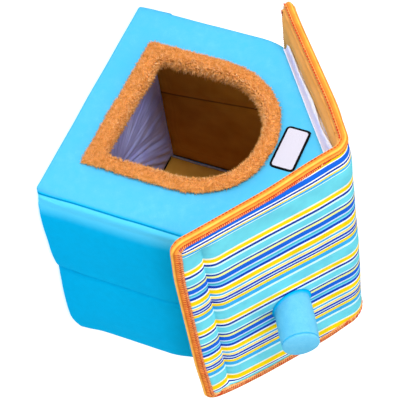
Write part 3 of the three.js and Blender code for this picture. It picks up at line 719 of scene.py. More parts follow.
# %% [markdown]
# ## The roof's edges
# The flat pad is no rectangle: each eave has its own reach, the front edge comes to a point at the ridge,
# the back edge is bowed and drawn in there, and the corners are round. One function gives this outline, so
# the padding, the seams and the binding all agree on where the edge is.

# %% The roof's edges
ROOF_CORNER = 14 * MM
PAD_LENGTH = 440 * MM
PAD = {"edge": 5.0 * MM, "full": 9.25 * MM, "rise": 22 * MM}


def flat_roof(p, q):
    """p runs from the left eave, -1, to the right one, and q from front to back."""
    side = CORNERS["left" if p < 0 else "right"]
    away = abs(p)
    across = lerp(*side["reach"], q) - FOLD_RADIUS * math.sin(ROOF_PITCH)
    reach = across / math.cos(ROOF_PITCH) + FOLD_ARC
    start = -HALF_DEPTH - lerp(RIDGE["front"], side["front"], away)
    bow = side["bow"] * 27 / 4 * away ** 2 * (1 - away)
    drawn_in = RIDGE["drawn"] * (1 - ease(0, 0.25, away))
    end = HALF_DEPTH + lerp(RIDGE["back"], side["back"], away) + bow - drawn_in
    return p * reach, lerp(start, end, q), reach, start, end


def edges_of(a, y):
    """Distances of a flat place from the eave, the front edge and the back edge."""
    side = math.copysign(1, a)
    q = (y + PAD_LENGTH / 2) / PAD_LENGTH
    reach = flat_roof(side, q)[2]
    start, end = flat_roof(a / reach, q)[3:]
    return reach - abs(a), y - start, end - y


def round_corner(side, from_eave, q):
    """A flat place at a distance from the eave, with the roof's corners rounded off."""
    _, _, reach, start, end = flat_roof(side, q)
    length = end - start
    eave, near = from_eave, min(q, 1 - q) * length
    s, t = max(0.0, 1 - eave / ROOF_CORNER), max(0.0, 1 - near / ROOF_CORNER)
    if s and t:
        eave = ROOF_CORNER * (1 - s * math.sqrt(1 - t * t / 2))
        near = ROOF_CORNER * (1 - t * math.sqrt(1 - s * s / 2))
        q = near / length if q < 0.5 else 1 - near / length
    a, y = flat_roof(side * (1 - eave / reach), q)[:2]
    return a, y


def pad_half(eave, front, back):
    """Half the pad's thickness before its filling, thinner along the edges."""
    d = min(1.0, max(0.0, min(eave, front, back)) / PAD["rise"])
    return lerp(PAD["edge"], PAD["full"], math.sqrt(1 - (1 - d) ** 2))


# %% [markdown]
# ## Striped canvas
# The stripes run up the slope and over the ridge, so only y decides the colour. The chart is given in
# millimetres from front to back: a lead-in, one group of stripes twice and a tail. The colour reads the y
# that each point had before the filling, so the stripes bend with the cloth.

# %% Striped canvas
FIRST_REPEAT = -158.8 * MM
CHART_MM = 1.0257 * MM
BLEED = 0.9 * MM
PAINTS = {
    "yellow": "FFDC00", "white": "FFFFFF", "navy": "003CA6", "ice": "D5FBFF", "aqua": "70DAEA",
    "purple": "1A3AA4", "lemon": "FBFB9A", "blue": "1466DC", "lilac": "CFE6FF", "teal": "3FBFD0",
    "cloud": "7FD0FF", "royal": "0046C0", "cream": "FFFBE0", "sky": "38B0EE", "straw": "FFE878",
    "gold": "FFDE20",
}
LEAD_IN = [
    ("straw", 11.8), ("yellow", 3.7), ("white", 1.5), ("blue", 9), ("white", 2.4), ("navy", 3.4),
    ("white", 2.2), ("yellow", 2.6), ("sky", 4.4), ("ice", 1.6), ("aqua", 33.4), ("cream", 4),
]
REPEAT = [
    ("yellow", 8), ("white", 3.6), ("navy", 5.2), ("ice", 4.2), ("aqua", 14), ("ice", 3.2), ("purple", 4),
    ("lemon", 4.8), ("blue", 10.5), ("lilac", 3.5), ("teal", 4.5), ("cloud", 3), ("royal", 7), ("white", 4),
    ("yellow", 10.5), ("cream", 2.5), ("sky", 4.5), ("white", 2), ("straw", 4.5), ("cream", 1.2),
    ("royal", 5.4), ("lilac", 2.3), ("purple", 4.2), ("white", 1.4), ("gold", 6), ("sky", 10), ("ice", 5),
    ("aqua", 24.5), ("cream", 3.5),
]
TAIL = [("yellow", 12), ("white", 2.5), ("navy", 3), ("ice", 2.5), ("aqua", 30)]


def chart_stops(chart):
    total = sum(width for _, width in chart)
    stops, at = [], 0.0
    for name, width in chart:
        stops.append((at / total, PAINTS[name]))
        at += width
    return stops, total


def canvas_finish():
    material, tree, shader = start_finish("striped_canvas", 0.85, gloss=0.08)
    place = own_place(tree)
    cloth_y = add_node(tree, "Attribute", attribute_name="cloth_y").outputs["Fac"]
    along = maths(tree, "SUBTRACT", cloth_y, FIRST_REPEAT)
    along = uneven(tree, along, grain(tree, place, 900, 2), BLEED)
    colour = None
    for chart, repeats in ((LEAD_IN, 0), (REPEAT, 0), (TAIL, 2)):
        stops, total = chart_stops(chart)
        start = repeats * chart_stops(REPEAT)[1] * CHART_MM
        into = maths(tree, "DIVIDE", maths(tree, "SUBTRACT", along, start), total * CHART_MM)
        band = tones(tree, maths(tree, "FRACT", maths(tree, "ADD", into, 1)), *stops, steps="CONSTANT")
        colour = mix(tree, maths(tree, "GREATER_THAN", along, start), colour, band) if colour else band
    warp = add_node(tree, "TexWave", {"Vector": place, "Scale": 380}, bands_direction="Y")
    weft = add_node(tree, "TexWave", {"Vector": place, "Scale": 380}, bands_direction="X")
    weave = maths(tree, "MULTIPLY", warp.outputs["Fac"], weft.outputs["Fac"])
    wear = tones(tree, grain(tree, place, 40, 4), (0.25, "E9ECF2"), (0.6, "FFFFFF"))
    tree.links.new(mix(tree, 1.0, colour, wear, "MULTIPLY"), shader.inputs["Base Color"])
    relief(tree, shader, weave, 0.0002, 0.35)
    return material


STRIPED_CANVAS = canvas_finish()

# %% [markdown]
# ## Layout of the quilt
# A seam along each eave is sewn right through the pad. The filling may move the cloth by 2 mm only, too
# little for the valley that shows. So the upper cloth is laid out with a stuffed channel, a valley at the
# seam and a slow rise to the panel, on a grid that is finest beside the seam.

# %% Layout of the quilt
QUILT = {"in": 33 * MM, "from_front": 20 * MM, "from_back": 14 * MM, "fade": 16 * MM}
SEAM_PULL = {"depth": 8.5 * MM, "panel": 20 * MM, "channel": 5.5 * MM}
RIDGE_PRESS = {"depth": 4 * MM, "half": 70 * MM, "from": -170 * MM, "to": 60 * MM}
FIXED_COLUMNS = 75 * MM  # this near the eave, the grid's columns run along it


def graded(*stops, fine, coarse):
    """Distances through the stops, in fine steps beside each stop and coarse ones between."""
    places = [stops[0]]
    for low, high in zip(stops, stops[1:]):
        run = [low]
        while run[-1] < high:
            run.append(run[-1] + min(coarse, fine + 0.3 * min(run[-1] - low, high - run[-1])))
        scale = (high - low) / (run[-1] - low)
        places += [low + (at - low) * scale for at in run[1:]]
    return places


PAD_REACH = flat_roof(1, 0.5)[2]
HALF_COLUMNS = graded(0.0, QUILT["in"], PAD_REACH, fine=0.9 * MM, coarse=8 * MM)
COLUMNS = [(-1, inward) for inward in HALF_COLUMNS[:-1]] + [(1, inward) for inward in reversed(HALF_COLUMNS)]
ROWS = [at / PAD_LENGTH for at in graded(0.0, PAD_LENGTH, fine=0.9 * MM, coarse=5 * MM)]


def quilt_share(front, back):
    """1 along the sewn seam's length, fading out at its two ends."""
    start = ease(QUILT["from_front"], QUILT["from_front"] + QUILT["fade"], front)
    return start * ease(QUILT["from_back"], QUILT["from_back"] + QUILT["fade"], back)


def pad_top(a, y, eave, front, back):
    """Height of the upper cloth over the pad's middle."""
    near_ridge = 1 - ease(0, RIDGE_PRESS["half"], abs(a))
    pressed = RIDGE_PRESS["depth"] * near_ridge * (1 - ease(RIDGE_PRESS["from"], RIDGE_PRESS["to"], y))
    plain = pad_half(eave, front, back) - pressed
    if eave < QUILT["in"]:
        t = eave / QUILT["in"]
        arch = math.sqrt(max(0.0, 1 - (2 * t - 1) ** 2))
        sewn = lerp(PAD["edge"], PAD["full"] - SEAM_PULL["depth"], t) + SEAM_PULL["channel"] * arch
    else:
        t = min(1.0, (eave - QUILT["in"]) / SEAM_PULL["panel"])
        sewn = plain - SEAM_PULL["depth"] * (1 - t) ** 2
    return lerp(plain, sewn, quilt_share(front, back))


def pad_place(above):
    def place(u, v):
        side, inward = COLUMNS[round(u * (len(COLUMNS) - 1))]
        q = ROWS[round(v * (len(ROWS) - 1))]
        reach = flat_roof(side, q)[2]
        far = max(0.0, inward - FIXED_COLUMNS) / (PAD_REACH - FIXED_COLUMNS)
        a, y = round_corner(side, min(inward, FIXED_COLUMNS) + far * (reach - FIXED_COLUMNS), q)
        edges = (reach - abs(a), *edges_of(a, y)[1:])
        return fold(a, y, pad_top(a, y, *edges) if above else -pad_half(*edges))
    return place


# %% [markdown]
# ## Quilted roof
# The pad is two cloths closed along their edges: two grids, laid out by the rules above and bridged. The
# filling then swells it while the seam is pinned, and the thread leaves small dents where it pulls.

# %% Quilted roof
DENT = {"pitch": 18 * MM, "deep": 1.5 * MM, "reach": 8 * MM}
ASKEW = {"left": 7 * MM, "right": 15 * MM}


def padded_grid(name, across, along, upper, lower):
    """Two grids laid out by rules and joined along their edges to a closed pad."""
    bm = bmesh.new()
    for place in (upper, lower):
        for vert in bmesh.ops.create_grid(bm, x_segments=across, y_segments=along, size=0.5)["verts"]:
            vert.co = place(vert.co.x + 0.5, vert.co.y + 0.5)
    bmesh.ops.bridge_loops(bm, edges=[edge for edge in bm.edges if edge.is_boundary])
    bmesh.ops.recalc_face_normals(bm, faces=bm.faces)
    return piece_from(bm, name)


def stripe_place(place):
    """Where a place lies on the striped cloth, which is sewn on a little askew towards the eaves."""
    a, y = unfold(place)
    share = min(1.0, abs(a) / PAD_REACH)
    front = 1 - 0.85 * min(1.0, max(0.0, (y + 120 * MM) / (300 * MM)))
    return y - ASKEW["left" if a < 0 else "right"] * share ** 2 * front


def sewn_seam(place):
    eave, front, back = edges_of(*unfold(place))
    return quilt_share(front, back) * (1 - ease(0.002, 0.008, abs(eave - QUILT["in"])))


def pull_dents(place, outward):
    eave, front, back = edges_of(*unfold(place))
    top = ease(0.2, 0.7, outward.z * math.cos(ROOF_PITCH) + abs(outward.x) * math.sin(ROOF_PITCH))
    off = eave - QUILT["in"]
    drift = 0.6 * lumps(Vector((0, place.y, 0)), 0.06, 2.0)
    pull = abs(math.cos(math.pi * (place.y / DENT["pitch"] + drift))) ** 8
    dent = DENT["deep"] * pull * math.exp(-abs(off) / (DENT["reach"] * (1 if off > 0 else 0.6)))
    inside = ease(6 * MM, 30 * MM, min(eave, front, back))
    slack = 0.7 * MM * lumps(place, 0.055, 4.0) * inside
    return outward * top * (slack - quilt_share(front, back) * dent)


roof = padded_grid("roof_pad_quilted", len(COLUMNS) - 1, len(ROWS) - 1, pad_place(True), pad_place(False))
cloth_y = roof.data.attributes.new("cloth_y", "FLOAT", "POINT")
cloth_y.data.foreach_set("value", [stripe_place(vert.co) for vert in roof.data.vertices])
fill(roof, "roof_pad", 0.002, sewn_seam)
subdivide(roof)
sculpt(roof, pull_dents)
dress(roof, STRIPED_CANVAS, "striped_canvas", "roof_pad")

# %% [markdown]
# ## Roof lining
# Under the pad lies an orange cloth. It is laid on the pad's underside with the same fold, and it hangs
# a little fuller under the overhang, between the binding and the house.

# %% Roof lining
UNDER_PAD = 0.3 * MM
OVERHANG = {"full": 3.0 * MM, "ripple": 0.5 * MM}
ORANGE_LINING = lining_finish("orange_lining", "D8964A", "EAAA62", 420)


def under_roof(u, v):
    side = -1 if u < 0.5 else 1
    reach = flat_roof(side, v)[2]
    a, y = round_corner(side, reach * (1 - abs(2 * u - 1)), v)
    eave, front, back = edges_of(a, y)
    outside = max(abs(y) - HALF_DEPTH, abs(a) * math.cos(ROOF_PITCH) - HALF_DEPTH)
    inner = ease(8 * MM, 16 * MM, min(eave, front, back))
    full = OVERHANG["full"] * inner * ease(2 * MM, 12 * MM, outside)
    ripple = OVERHANG["ripple"] * lumps(Vector((a, y, 0)), 0.03, 6.0) * inner * ease(0, 8 * MM, outside)
    return fold(a, y, -pad_half(eave, front, back) - UNDER_PAD - full - abs(ripple))


cloth = laid_grid("roof_lining_cloth", 120, 120, under_roof, thick=CLOTH)
dress(cloth, ORANGE_LINING, "orange_lining", "roof_lining")

# %% [markdown]
# ## A line round the roof
# The binding and its stitches both follow the roof's edge. A list of flat places round it, a few
# millimetres apart, holds where the edge runs, which way is out, and how wide the tape's flap is there.

# %% A line round the roof
STEP = 4 * MM
PROBE = 40 * MM  # rays start this far off the pad's middle
FLAP = {"front": 2.2 * MM, "eave": 4.6 * MM, "back": 17 * MM, "corner": 19 * MM, "thick": 1.5 * MM}


def tree_of(piece):
    mesh = piece.data
    return BVHTree.FromPolygons([v.co for v in mesh.vertices], [p.vertices for p in mesh.polygons])


roof_tree, lining_tree = tree_of(roof), tree_of(cloth)


def laid_on(a, y, lift, above=True):
    """The point of the finished pad or lining at a flat place, lifted off it."""
    far, near = fold(a, y, PROBE), fold(a, y, -PROBE)
    start, tree = (far, roof_tree) if above else (near, lining_tree)
    outward = (far - near).normalized() * (1 if above else -1)
    hit = tree.ray_cast(start, -outward, 2 * PROBE)[0]
    hit = hit or fold(a, y, (5 if above else -7) * MM)
    return hit + outward * lift


def roof_edge():
    """Flat places round the roof's edge, about a step apart, each with the flap's width there."""
    places, widths = [], []

    def run(count, place, wide):
        for i in range(count):
            places.append(Vector(place(i / count)))
            widths.append(lerp(*wide, i / count))

    for side, back in ((-1, False), (1, False), (1, True), (-1, True)):
        q = 1.0 if back else 0.0
        reach = flat_roof(side, q)[2]
        outward = (side > 0) != back
        wide = (FLAP["front"], FLAP["front"])
        if back:
            wide = (FLAP["corner"], FLAP["back"]) if side > 0 else (FLAP["back"], FLAP["back"])
        run(round(reach / STEP), lambda t: round_corner(side, reach * ((1 - t) if outward else t), q), wide)
        if outward:
            run(round(PAD_LENGTH / STEP), lambda t: round_corner(side, 0.0, (1 - t) if back else t),
                (FLAP["eave"], FLAP["eave"]))
    count = len(places)
    rows = []
    for i, place in enumerate(places):
        ahead = (places[(i + 1) % count] - places[i - 1]).normalized()
        wide = sum(widths[(i + j) % count] for j in range(-4, 5)) / 9
        rows.append({"at": place, "out": Vector((ahead.y, -ahead.x)), "wide": wide})
    return rows


EDGE = roof_edge()
print("places round the roof", len(EDGE))

# %% [markdown]
# ## Bound edge
# A folded orange tape closes the roof's whole edge: a double roll outside, a flap sewn down on the stripes
# and one on the lining. It is a grid that runs once round the roof, with the section's points round the
# tape. The flaps are set on the finished pad and lining by shooting short rays at them.

# %% Bound edge
TAPE_ROLL = [
    {"out": 0.6, "high": 5.6}, {"out": 1.8, "high": 6.6}, {"out": 3.4, "high": 6.4},
    {"out": 4.8, "high": 5.4}, {"out": 5.3, "high": 4.2}, {"out": 6.6, "high": 4.5},
    {"out": 8.0, "high": 3.3}, {"out": 8.8, "high": 1.4}, {"out": 8.7, "high": -0.6},
    {"out": 8.0, "high": -2.0}, {"out": 7.1, "high": -2.7}, {"out": 7.4, "high": -4.0},
    {"out": 6.2, "high": -5.6}, {"out": 4.2, "high": -6.5}, {"out": 2.2, "high": -6.5},
    {"out": 0.6, "high": -5.6},
]
FLAP_STEPS = [1.0, 0.92, 0.7, 0.45, 0.2, 0.08]


def flap_point(row, share, above, lift=None):
    """A point of the tape's flap, from its sewn edge at share 1 to the pad's edge at 0."""
    if lift is None:
        lift = FLAP["thick"] * (0.2 if share == 1 else 1)
    a, y = row["at"] - row["out"] * share * row["wide"]
    return laid_on(a, y, lift, above)


def tape_ring(row):
    """The tape's section at one station, from the upper flap over the roll to the lower one and back."""
    ring = []
    for above in (True, False):
        flap = [flap_point(row, share, above) for share in FLAP_STEPS]
        inside = [flap_point(row, share, above, -0.3 * MM) for share in (0.9, 0.5)]
        corner = fold(*(row["at"] + row["out"] * 0.1 * MM), (4.2 if above else -4.6) * MM)
        if above:
            roll = [fold(*(row["at"] + row["out"] * p["out"] * MM), p["high"] * MM) for p in TAPE_ROLL]
            ring += [*flap, *roll]
            back = [corner, *reversed(inside)]
        else:
            ring += [*reversed(flap), *inside, corner, *back]
    return ring


RINGS = [tape_ring(row) for row in EDGE]


def tape(u, v):
    ring = RINGS[round(u * len(RINGS)) % len(RINGS)]
    return ring[round(v * len(ring)) % len(ring)]


def tape_finish():
    material, tree, shader = start_finish("orange_binding", 0.65, gloss=0.2)
    place = own_place(tree)
    around = add_node(tree, "Attribute", attribute_name="around").outputs["Fac"]
    ribs = add_node(tree, "TexWave", {"Vector": place, "Scale": 330, "Distortion": 1.0},
                    bands_direction="DIAGONAL")
    wear = grain(tree, place, 60, 3)
    # Painted light round the tape's section: a yellow highlight on the roll's crest, and darker orange in the
    # grooves as painted shade.
    colour = tones(tree, around, (0.0, "FFC080"), (0.17, "FFB868"), (0.218, "F8A844"), (0.265, "F0962E"),
                   (0.293, "D9701A"), (0.321, "EE922E"), (0.345, "FFC652"), (0.368, "FFC04C"),
                   (0.387, "EE922E"), (0.443, "EC8A26"), (0.467, "C4601C"), (0.5, "E9A44C"),
                   (0.613, "E4A254"), (0.78, "EFA040"))
    shade = tones(tree, wear, (0.25, "E6DCD0"), (0.65, "FFFFFF"))
    tree.links.new(mix(tree, 1.0, colour, shade, "MULTIPLY"), shader.inputs["Base Color"])
    relief(tree, shader, ribs.outputs["Fac"], 0.0003, 0.4)
    return material


ORANGE_TAPE = tape_finish()
binding = laid_grid("roof_binding_tape", len(RINGS), len(RINGS[0]), tape, keep="around")
dress(binding, ORANGE_TAPE, "orange_binding", "roof_binding")

# %% [markdown]
# ## Where the stitches run
# The tape is sewn down with a slanted overlock in red thread: long stitches over the roll along the eaves
# and under it, short ones along the front with a row of dashes low on the roll, and three rows on the wide
# flap at the back. Each row of the list is one kind of stitch, and a stitch runs through a few points.

# %% Where the stitches run
STITCHES = [
    {"part": "eave", "pitch": 5.0, "slant": 2.6, "thick": 0.9, "outs": (4.4, 2.4, 0.2, -2.2, -4.4)},
    {"part": "eave", "pitch": 5.0, "slant": 2.2, "thick": 1.1, "below": (0.4, -2.0, -4.4)},
    {"part": "front", "pitch": 3.0, "slant": 2.2, "thick": 1.1, "outs": (2.2, 0.2, -1.8)},
    {"part": "front", "pitch": 5.4, "slant": 1.9, "thick": 1.0, "side": (8.0, -2.7)},
    {"part": "left_front", "pitch": 5.4, "slant": 2.0, "thick": 1.35, "side": (7.0, -5.6)},
    {"part": "back", "pitch": 3.8, "slant": 2.4, "thick": 0.9, "outs": (-1.0, -5.0)},
    {"part": "back", "pitch": 3.8, "slant": 2.4, "thick": 0.9, "outs": (-6.2, -10.2)},
    {"part": "back", "pitch": 3.8, "slant": 2.4, "thick": 0.9, "outs": (-11.4, -15.6)},
]


def part_of(row):
    if abs(row["out"].x) > 0.8:
        return "eave"
    if row["out"].y > 0:
        return "back"
    return "front" if row["at"].x > -4 * MM else "left_front"


def tape_top(row, out):
    """The tape's upper face at a distance out from the pad's edge, or inward on the flap."""
    a, y = row["at"] + row["out"] * out
    flap = laid_on(a, y, FLAP["thick"]) if out < 0.6 * MM else None
    if out < 0:
        return flap
    for p, after in zip(TAPE_ROLL, TAPE_ROLL[1:]):
        if out <= after["out"] * MM:
            share = max(0.0, out / MM - p["out"]) / (after["out"] - p["out"])
            return fold(a, y, lerp(p["high"], after["high"], share) * MM)


def tape_below(row, out):
    """The tape's lower flap, on the lining."""
    return flap_point(row, max(0.0, -out / row["wide"]), above=False)


def stitch_rows():
    """Every stitch's kind and its place along the edge, where the flap is wide enough for it."""
    for kind in STITCHES:
        travelled, count = 0.0, len(EDGE)
        for i, row in enumerate(EDGE):
            after = EDGE[(i + 1) % count]
            step = (after["at"] - row["at"]).length
            while travelled < step:
                share = travelled / step
                travelled += kind["pitch"] * MM
                wide_enough = -min(kind.get("outs", [0])) * MM < row["wide"] + 0.1 * MM
                if part_of(row) == kind["part"] and wide_enough:
                    yield kind, {**row, "at": row["at"].lerp(after["at"], share),
                                 "out": row["out"].lerp(after["out"], share).normalized()}
            travelled -= step


def stitch_points(kind, here, draw):
    """The points that one stitch's thread runs through."""
    ahead = Vector((-here["out"].y, here["out"].x)) * kind["slant"] * MM
    if "side" in kind:
        out, high = kind["side"]
        return [fold(*(here["at"] + here["out"] * out * MM + ahead * s), high * MM) for s in (-0.5, 0.5)]
    outs = kind.get("outs") or kind["below"]
    face = tape_top if "outs" in kind else tape_below
    points = []
    for i, out in enumerate(outs):
        at = here["at"] + ahead * (i / (len(outs) - 1) - 0.5)
        points.append(face({**here, "at": at}, (out + draw.uniform(-0.25, 0.25)) * MM))
    return points


# %% [markdown]
# ## Stitches on the binding
# A curve with a round section would make a smooth thread with many faces. At this size a stretched ball
# with few faces looks the same, so one is set down between every two points of a stitch.

# %% Stitches on the binding
def thread_between(bm, start, end, thickness):
    way = end - start
    turn = way.to_track_quat("Z", "Y").to_matrix().to_4x4()
    size = Matrix.Diagonal((thickness, thickness, way.length / 2 + thickness, 1))
    bmesh.ops.create_icosphere(
        bm, subdivisions=1, radius=1, matrix=Matrix.Translation((start + end) / 2) @ turn @ size)


def sew_binding():
    draw = random.Random(11)
    bm = bmesh.new()
    for kind, here in stitch_rows():
        points = stitch_points(kind, here, draw)
        thick = kind["thick"] * MM * draw.uniform(0.8, 1.2)
        for start, end in zip(points, points[1:]):
            thread_between(bm, start, end, thick)
    return piece_from(bm, "binding_stitches")


def thread_finish(name, dark, light):
    material, tree, shader = start_finish(name, 0.7, gloss=0.15)
    place = own_place(tree)
    twist = grain(tree, place, 900, 2)
    patch = grain(tree, place, 120, 2)
    tone = blend(tree, twist, 0.4, patch, 0.6)
    tree.links.new(tones(tree, tone, (0.35, dark), (0.65, light)), shader.inputs["Base Color"])
    relief(tree, shader, twist, 0.0002, 0.4)
    return material


RED_THREAD = thread_finish("red_thread", "B8260E", "E25628")
stitches = sew_binding()
dress(stitches, RED_THREAD, "orange_binding")

# %% [markdown]
# ## White gussets
# A strip of white satin closes the space between each wall and the roof. It is laid out between the
# wall's upper edge and the roof, puckered along its length. Its foot is turned over the wall's edge and
# sewn there, and its upper edge is a soft, wavy roll.

# %% White gussets
def gusset_shaded_finish():
    """Satin painted lavender in its hollow as shade, white on its roll as a painted highlight, and greyer
    where it meets the roof as painted shade.
    """
    material, tree, shader = start_finish("white_satin", 0.4, gloss=0.4)
    place = own_place(tree)
    strip = add_node(tree, "Attribute", attribute_name="strip").outputs["Fac"]
    tone = uneven(tree, strip, grain(tree, place, 45, 3), 0.5)
    # Painted light across the strip: lavender shade in the hollow, a white highlight on the roll, grey shade
    # at the roof.
    colour = tones(tree, tone, (0.0, "E6EAFF"), (0.2, "D2DAFF"), (0.58, "CCD6FF"), (0.7, "F6F8FF"),
                   (0.9, "FFFFFF"), (1.0, "C4C2D4"))
    tree.links.new(colour, shader.inputs["Base Color"])
    relief(tree, shader, grain(tree, place, 1400, 2), 0.0002, 0.3)
    return material


GUSSET_FACE = {"gable": 176.6 * MM, "side": 175.2 * MM}
GUSSET_HALF = {"gable": 177 * MM, "side": 172 * MM}
WALL_TOP = {"gable": 380 * MM, "side": 240 * MM}
SIDE_LIFT = 2.9 * MM
GUSSET_CLEAR = 0.4 * MM
ROOF_SLOPE = 147 / 180
GUSSET_FLARE = 1.095
GUSSET_ROLL = {"at": 0.76, "half": 0.13, "high": 4.4 * MM}
GUSSET_FOOT = {"over": 3.0 * MM, "share": 0.2, "off": 0.4 * MM}
WHITE_SATIN = gusset_shaded_finish()
wall_trees = {-1: tree_of(panels["front_wall"]), 1: tree_of(panels["back_wall"])}


def rounded_ridge(x, top, slope, radius):
    """Height of a gable line at x, rounded at the ridge."""
    pitch = math.atan(slope)
    if abs(x) < radius * math.sin(pitch):
        return top - radius / math.cos(pitch) + math.sqrt(radius * radius - x * x)
    return top - slope * abs(x)


def gusset_bulge(along, v, seed):
    """How far the satin stands out of the strip's plane."""
    roll_at = GUSSET_ROLL["at"] + 0.3 * lumps(Vector((along, seed, 0)), 0.04)
    roll = GUSSET_ROLL["high"] * math.exp(-((v - roll_at) / GUSSET_ROLL["half"]) ** 2)
    puckers = 0.6 * MM * lumps(Vector((along, 0.004 * v, seed)), 0.009) * math.sin(math.pi * v)
    return roll + puckers - 2.2 * MM * math.sin(math.pi * v)


def gable_gusset(facing):
    def place(u, v):
        half, face = GUSSET_HALF["gable"], GUSSET_FACE["gable"]
        x = lerp(-half, half, u)
        low = rounded_ridge(x, WALL_TOP["gable"] + GUSSET_CLEAR, GABLE["slope"], 10 * MM)
        upper_x = x * lerp(1, GUSSET_FLARE, ease(150 * MM, half, abs(x)))
        high = rounded_ridge(upper_x, UNDER_RIDGE - 1.3 * GUSSET_CLEAR, ROOF_SLOPE, 11.7 * MM)
        if v < GUSSET_FOOT["share"]:
            t = v / GUSSET_FOOT["share"]
            z = low - GUSSET_FOOT["over"] * (1 - t)
            probe = Vector((x * 0.985, facing * 0.25, z - 1.5 * MM))
            hit = wall_trees[facing].ray_cast(probe, Vector((0, -facing, 0)), 0.1)[0]
            on_wall = abs(hit.y) + GUSSET_FOOT["off"] if hit else face + 1 * MM
            return Vector((x, facing * lerp(on_wall, max(on_wall - 1 * MM, face), t), z))
        rest = (v - GUSSET_FOOT["share"]) / (1 - GUSSET_FOOT["share"])
        out = face + gusset_bulge(x, rest, facing) * ease(0, 0.15, rest)
        return Vector((lerp(x, upper_x, rest), facing * out, lerp(low, high, rest)))
    return place


def side_gusset(hand):
    def place(u, v):
        y = lerp(-GUSSET_HALF["side"], GUSSET_HALF["side"], u)
        low = WALL_TOP["side"] + SIDE_LIFT
        high = UNDER_RIDGE - ROOF_SLOPE * 178 * MM - 1.3 * GUSSET_CLEAR
        return Vector((hand * (GUSSET_FACE["side"] + gusset_bulge(y, v, hand)), y, lerp(low, high, v)))
    return place


for node, place, cut in (
        ("gusset_front", gable_gusset(-1), (0.020, 0.453)), ("gusset_back", gable_gusset(1), (0.020, 0.453)),
        ("gusset_left", side_gusset(-1), (0.014, 0.344)), ("gusset_right", side_gusset(1), (0.014, 0.344))):
    strip = laid_grid(node + "_satin", 180, 18, place, thick=CLOTH, keep="strip")
    dress(strip, WHITE_SATIN, "white_satin", node)

# %% [markdown]
# ## Chimney
# The chimney is a stuffed plush tube with a flat round cap sewn on. It is turned like a pot: a profile goes
# once round the leaning axis, from a sewn foot that follows the roof to the rim and the low dome of the
# cap. The filling swells it, with the foot and the cap's seam pinned.

# %% Chimney
CHIMNEY_TILT = math.radians(32.5)
CHIMNEY_AXIS = Vector((math.cos(CHIMNEY_TILT), 0, math.sin(CHIMNEY_TILT)))
CHIMNEY_UP = Vector((-math.sin(CHIMNEY_TILT), 0, math.cos(CHIMNEY_TILT)))
CHIMNEY_FOOT = Vector((97.5, 61.5, 345.0)) * MM
CHIMNEY_RIM = 68.6 * MM
FOOT_RINGS = [
    {"lift": -0.6, "radius": 0}, {"lift": -0.6, "radius": 31.4}, {"lift": 1.0, "radius": 32.2},
    {"lift": 2.2, "radius": 31.0}, {"lift": 2.6, "radius": 28.4}, {"lift": 4.2, "radius": 27.0},
]
TUBE_RINGS = [28.3, 28.7, 29.0, 29.2, 29.3, 29.3, 29.2, 29.1, 28.9, 28.7, 28.4]
CAP_RINGS = [
    {"along": 67.4, "radius": 28.0}, {"along": 68.4, "radius": 27.0}, {"along": 69.2, "radius": 27.3},
    {"along": 70.2, "radius": 28.3}, {"along": 71.6, "radius": 28.5}, {"along": 72.8, "radius": 27.9},
    {"along": 73.5, "radius": 26.4}, {"along": 74.2, "radius": 23.6}, {"along": 75.0, "radius": 19.5},
    {"along": 75.9, "radius": 14.5}, {"along": 76.5, "radius": 8.5}, {"along": 76.8, "radius": 0},
]


def chimney_place(u, v):
    angle = 2 * math.pi * u
    i = round(v * (len(FOOT_RINGS) + len(TUBE_RINGS) + len(CAP_RINGS) - 1))
    round_axis = Vector((0, math.cos(angle), 0)) + CHIMNEY_UP * math.sin(angle)

    def on_roof(radius):
        start = CHIMNEY_FOOT + round_axis * radius + CHIMNEY_AXIS * PROBE
        return PROBE - roof_tree.ray_cast(start, -CHIMNEY_AXIS)[3]

    if i < len(FOOT_RINGS):
        radius = FOOT_RINGS[i]["radius"] * MM
        along = on_roof(radius) + FOOT_RINGS[i]["lift"] * MM
    elif i < len(FOOT_RINGS) + len(TUBE_RINGS):
        i -= len(FOOT_RINGS)
        radius = TUBE_RINGS[i] * MM
        low, high = on_roof(28 * MM) + 7 * MM, CAP_RINGS[0]["along"] * MM - 2.5 * MM
        along = lerp(low, high, i / (len(TUBE_RINGS) - 1))
    else:
        ring = CAP_RINGS[i - len(FOOT_RINGS) - len(TUBE_RINGS)]
        radius, along = ring["radius"] * MM, ring["along"] * MM
    puckers = 0.35 * MM * math.cos(19 * angle + 2 * math.sin(3 * angle))
    near_seam = math.exp(-((along - CHIMNEY_RIM) / (4 * MM)) ** 2)
    return CHIMNEY_FOOT + CHIMNEY_AXIS * along + round_axis * (radius + puckers * near_seam * (radius > 0))


def chimney_seam(place):
    along = (place - CHIMNEY_FOOT).dot(CHIMNEY_AXIS)
    off = ((place - CHIMNEY_FOOT) - CHIMNEY_AXIS * along).length
    return 1 - ease(0.002, 0.006, abs(along - CHIMNEY_RIM - 1.5 * MM)) if off > 20 * MM else 0.0


def chimney_slack(place, outward):
    return outward * 0.6 * MM * lumps(place, 0.025)


def chimney_painted_light(place, outward):
    """Painted light: lighter towards the top, painted shade at the sewn foot against the roof, and darker
    along the cap's seam.
    """
    along = (place - CHIMNEY_FOOT).dot(CHIMNEY_AXIS)
    off_roof = roof_tree.find_nearest(place)[3]
    seam = 1 - ease(0, 1.6 * MM, abs(along - CHIMNEY_RIM))
    return (0.94 + 0.06 * outward.z) * ease(0.5 * MM, 5 * MM, off_roof) - 0.45 * seam


rings = len(FOOT_RINGS) + len(TUBE_RINGS) + len(CAP_RINGS)
chimney = laid_grid("chimney_stuffed", 72, rings - 1, chimney_place)
fill(chimney, "chimney", 0.0012, chimney_seam)
subdivide(chimney)
sculpt(chimney, chimney_slack)
# Paints light on the chimney, lighter on top, with painted shade at its foot.
paint_light(chimney, chimney_painted_light)
dress(chimney, BLUE_PLUSH, "blue_plush", "chimney")

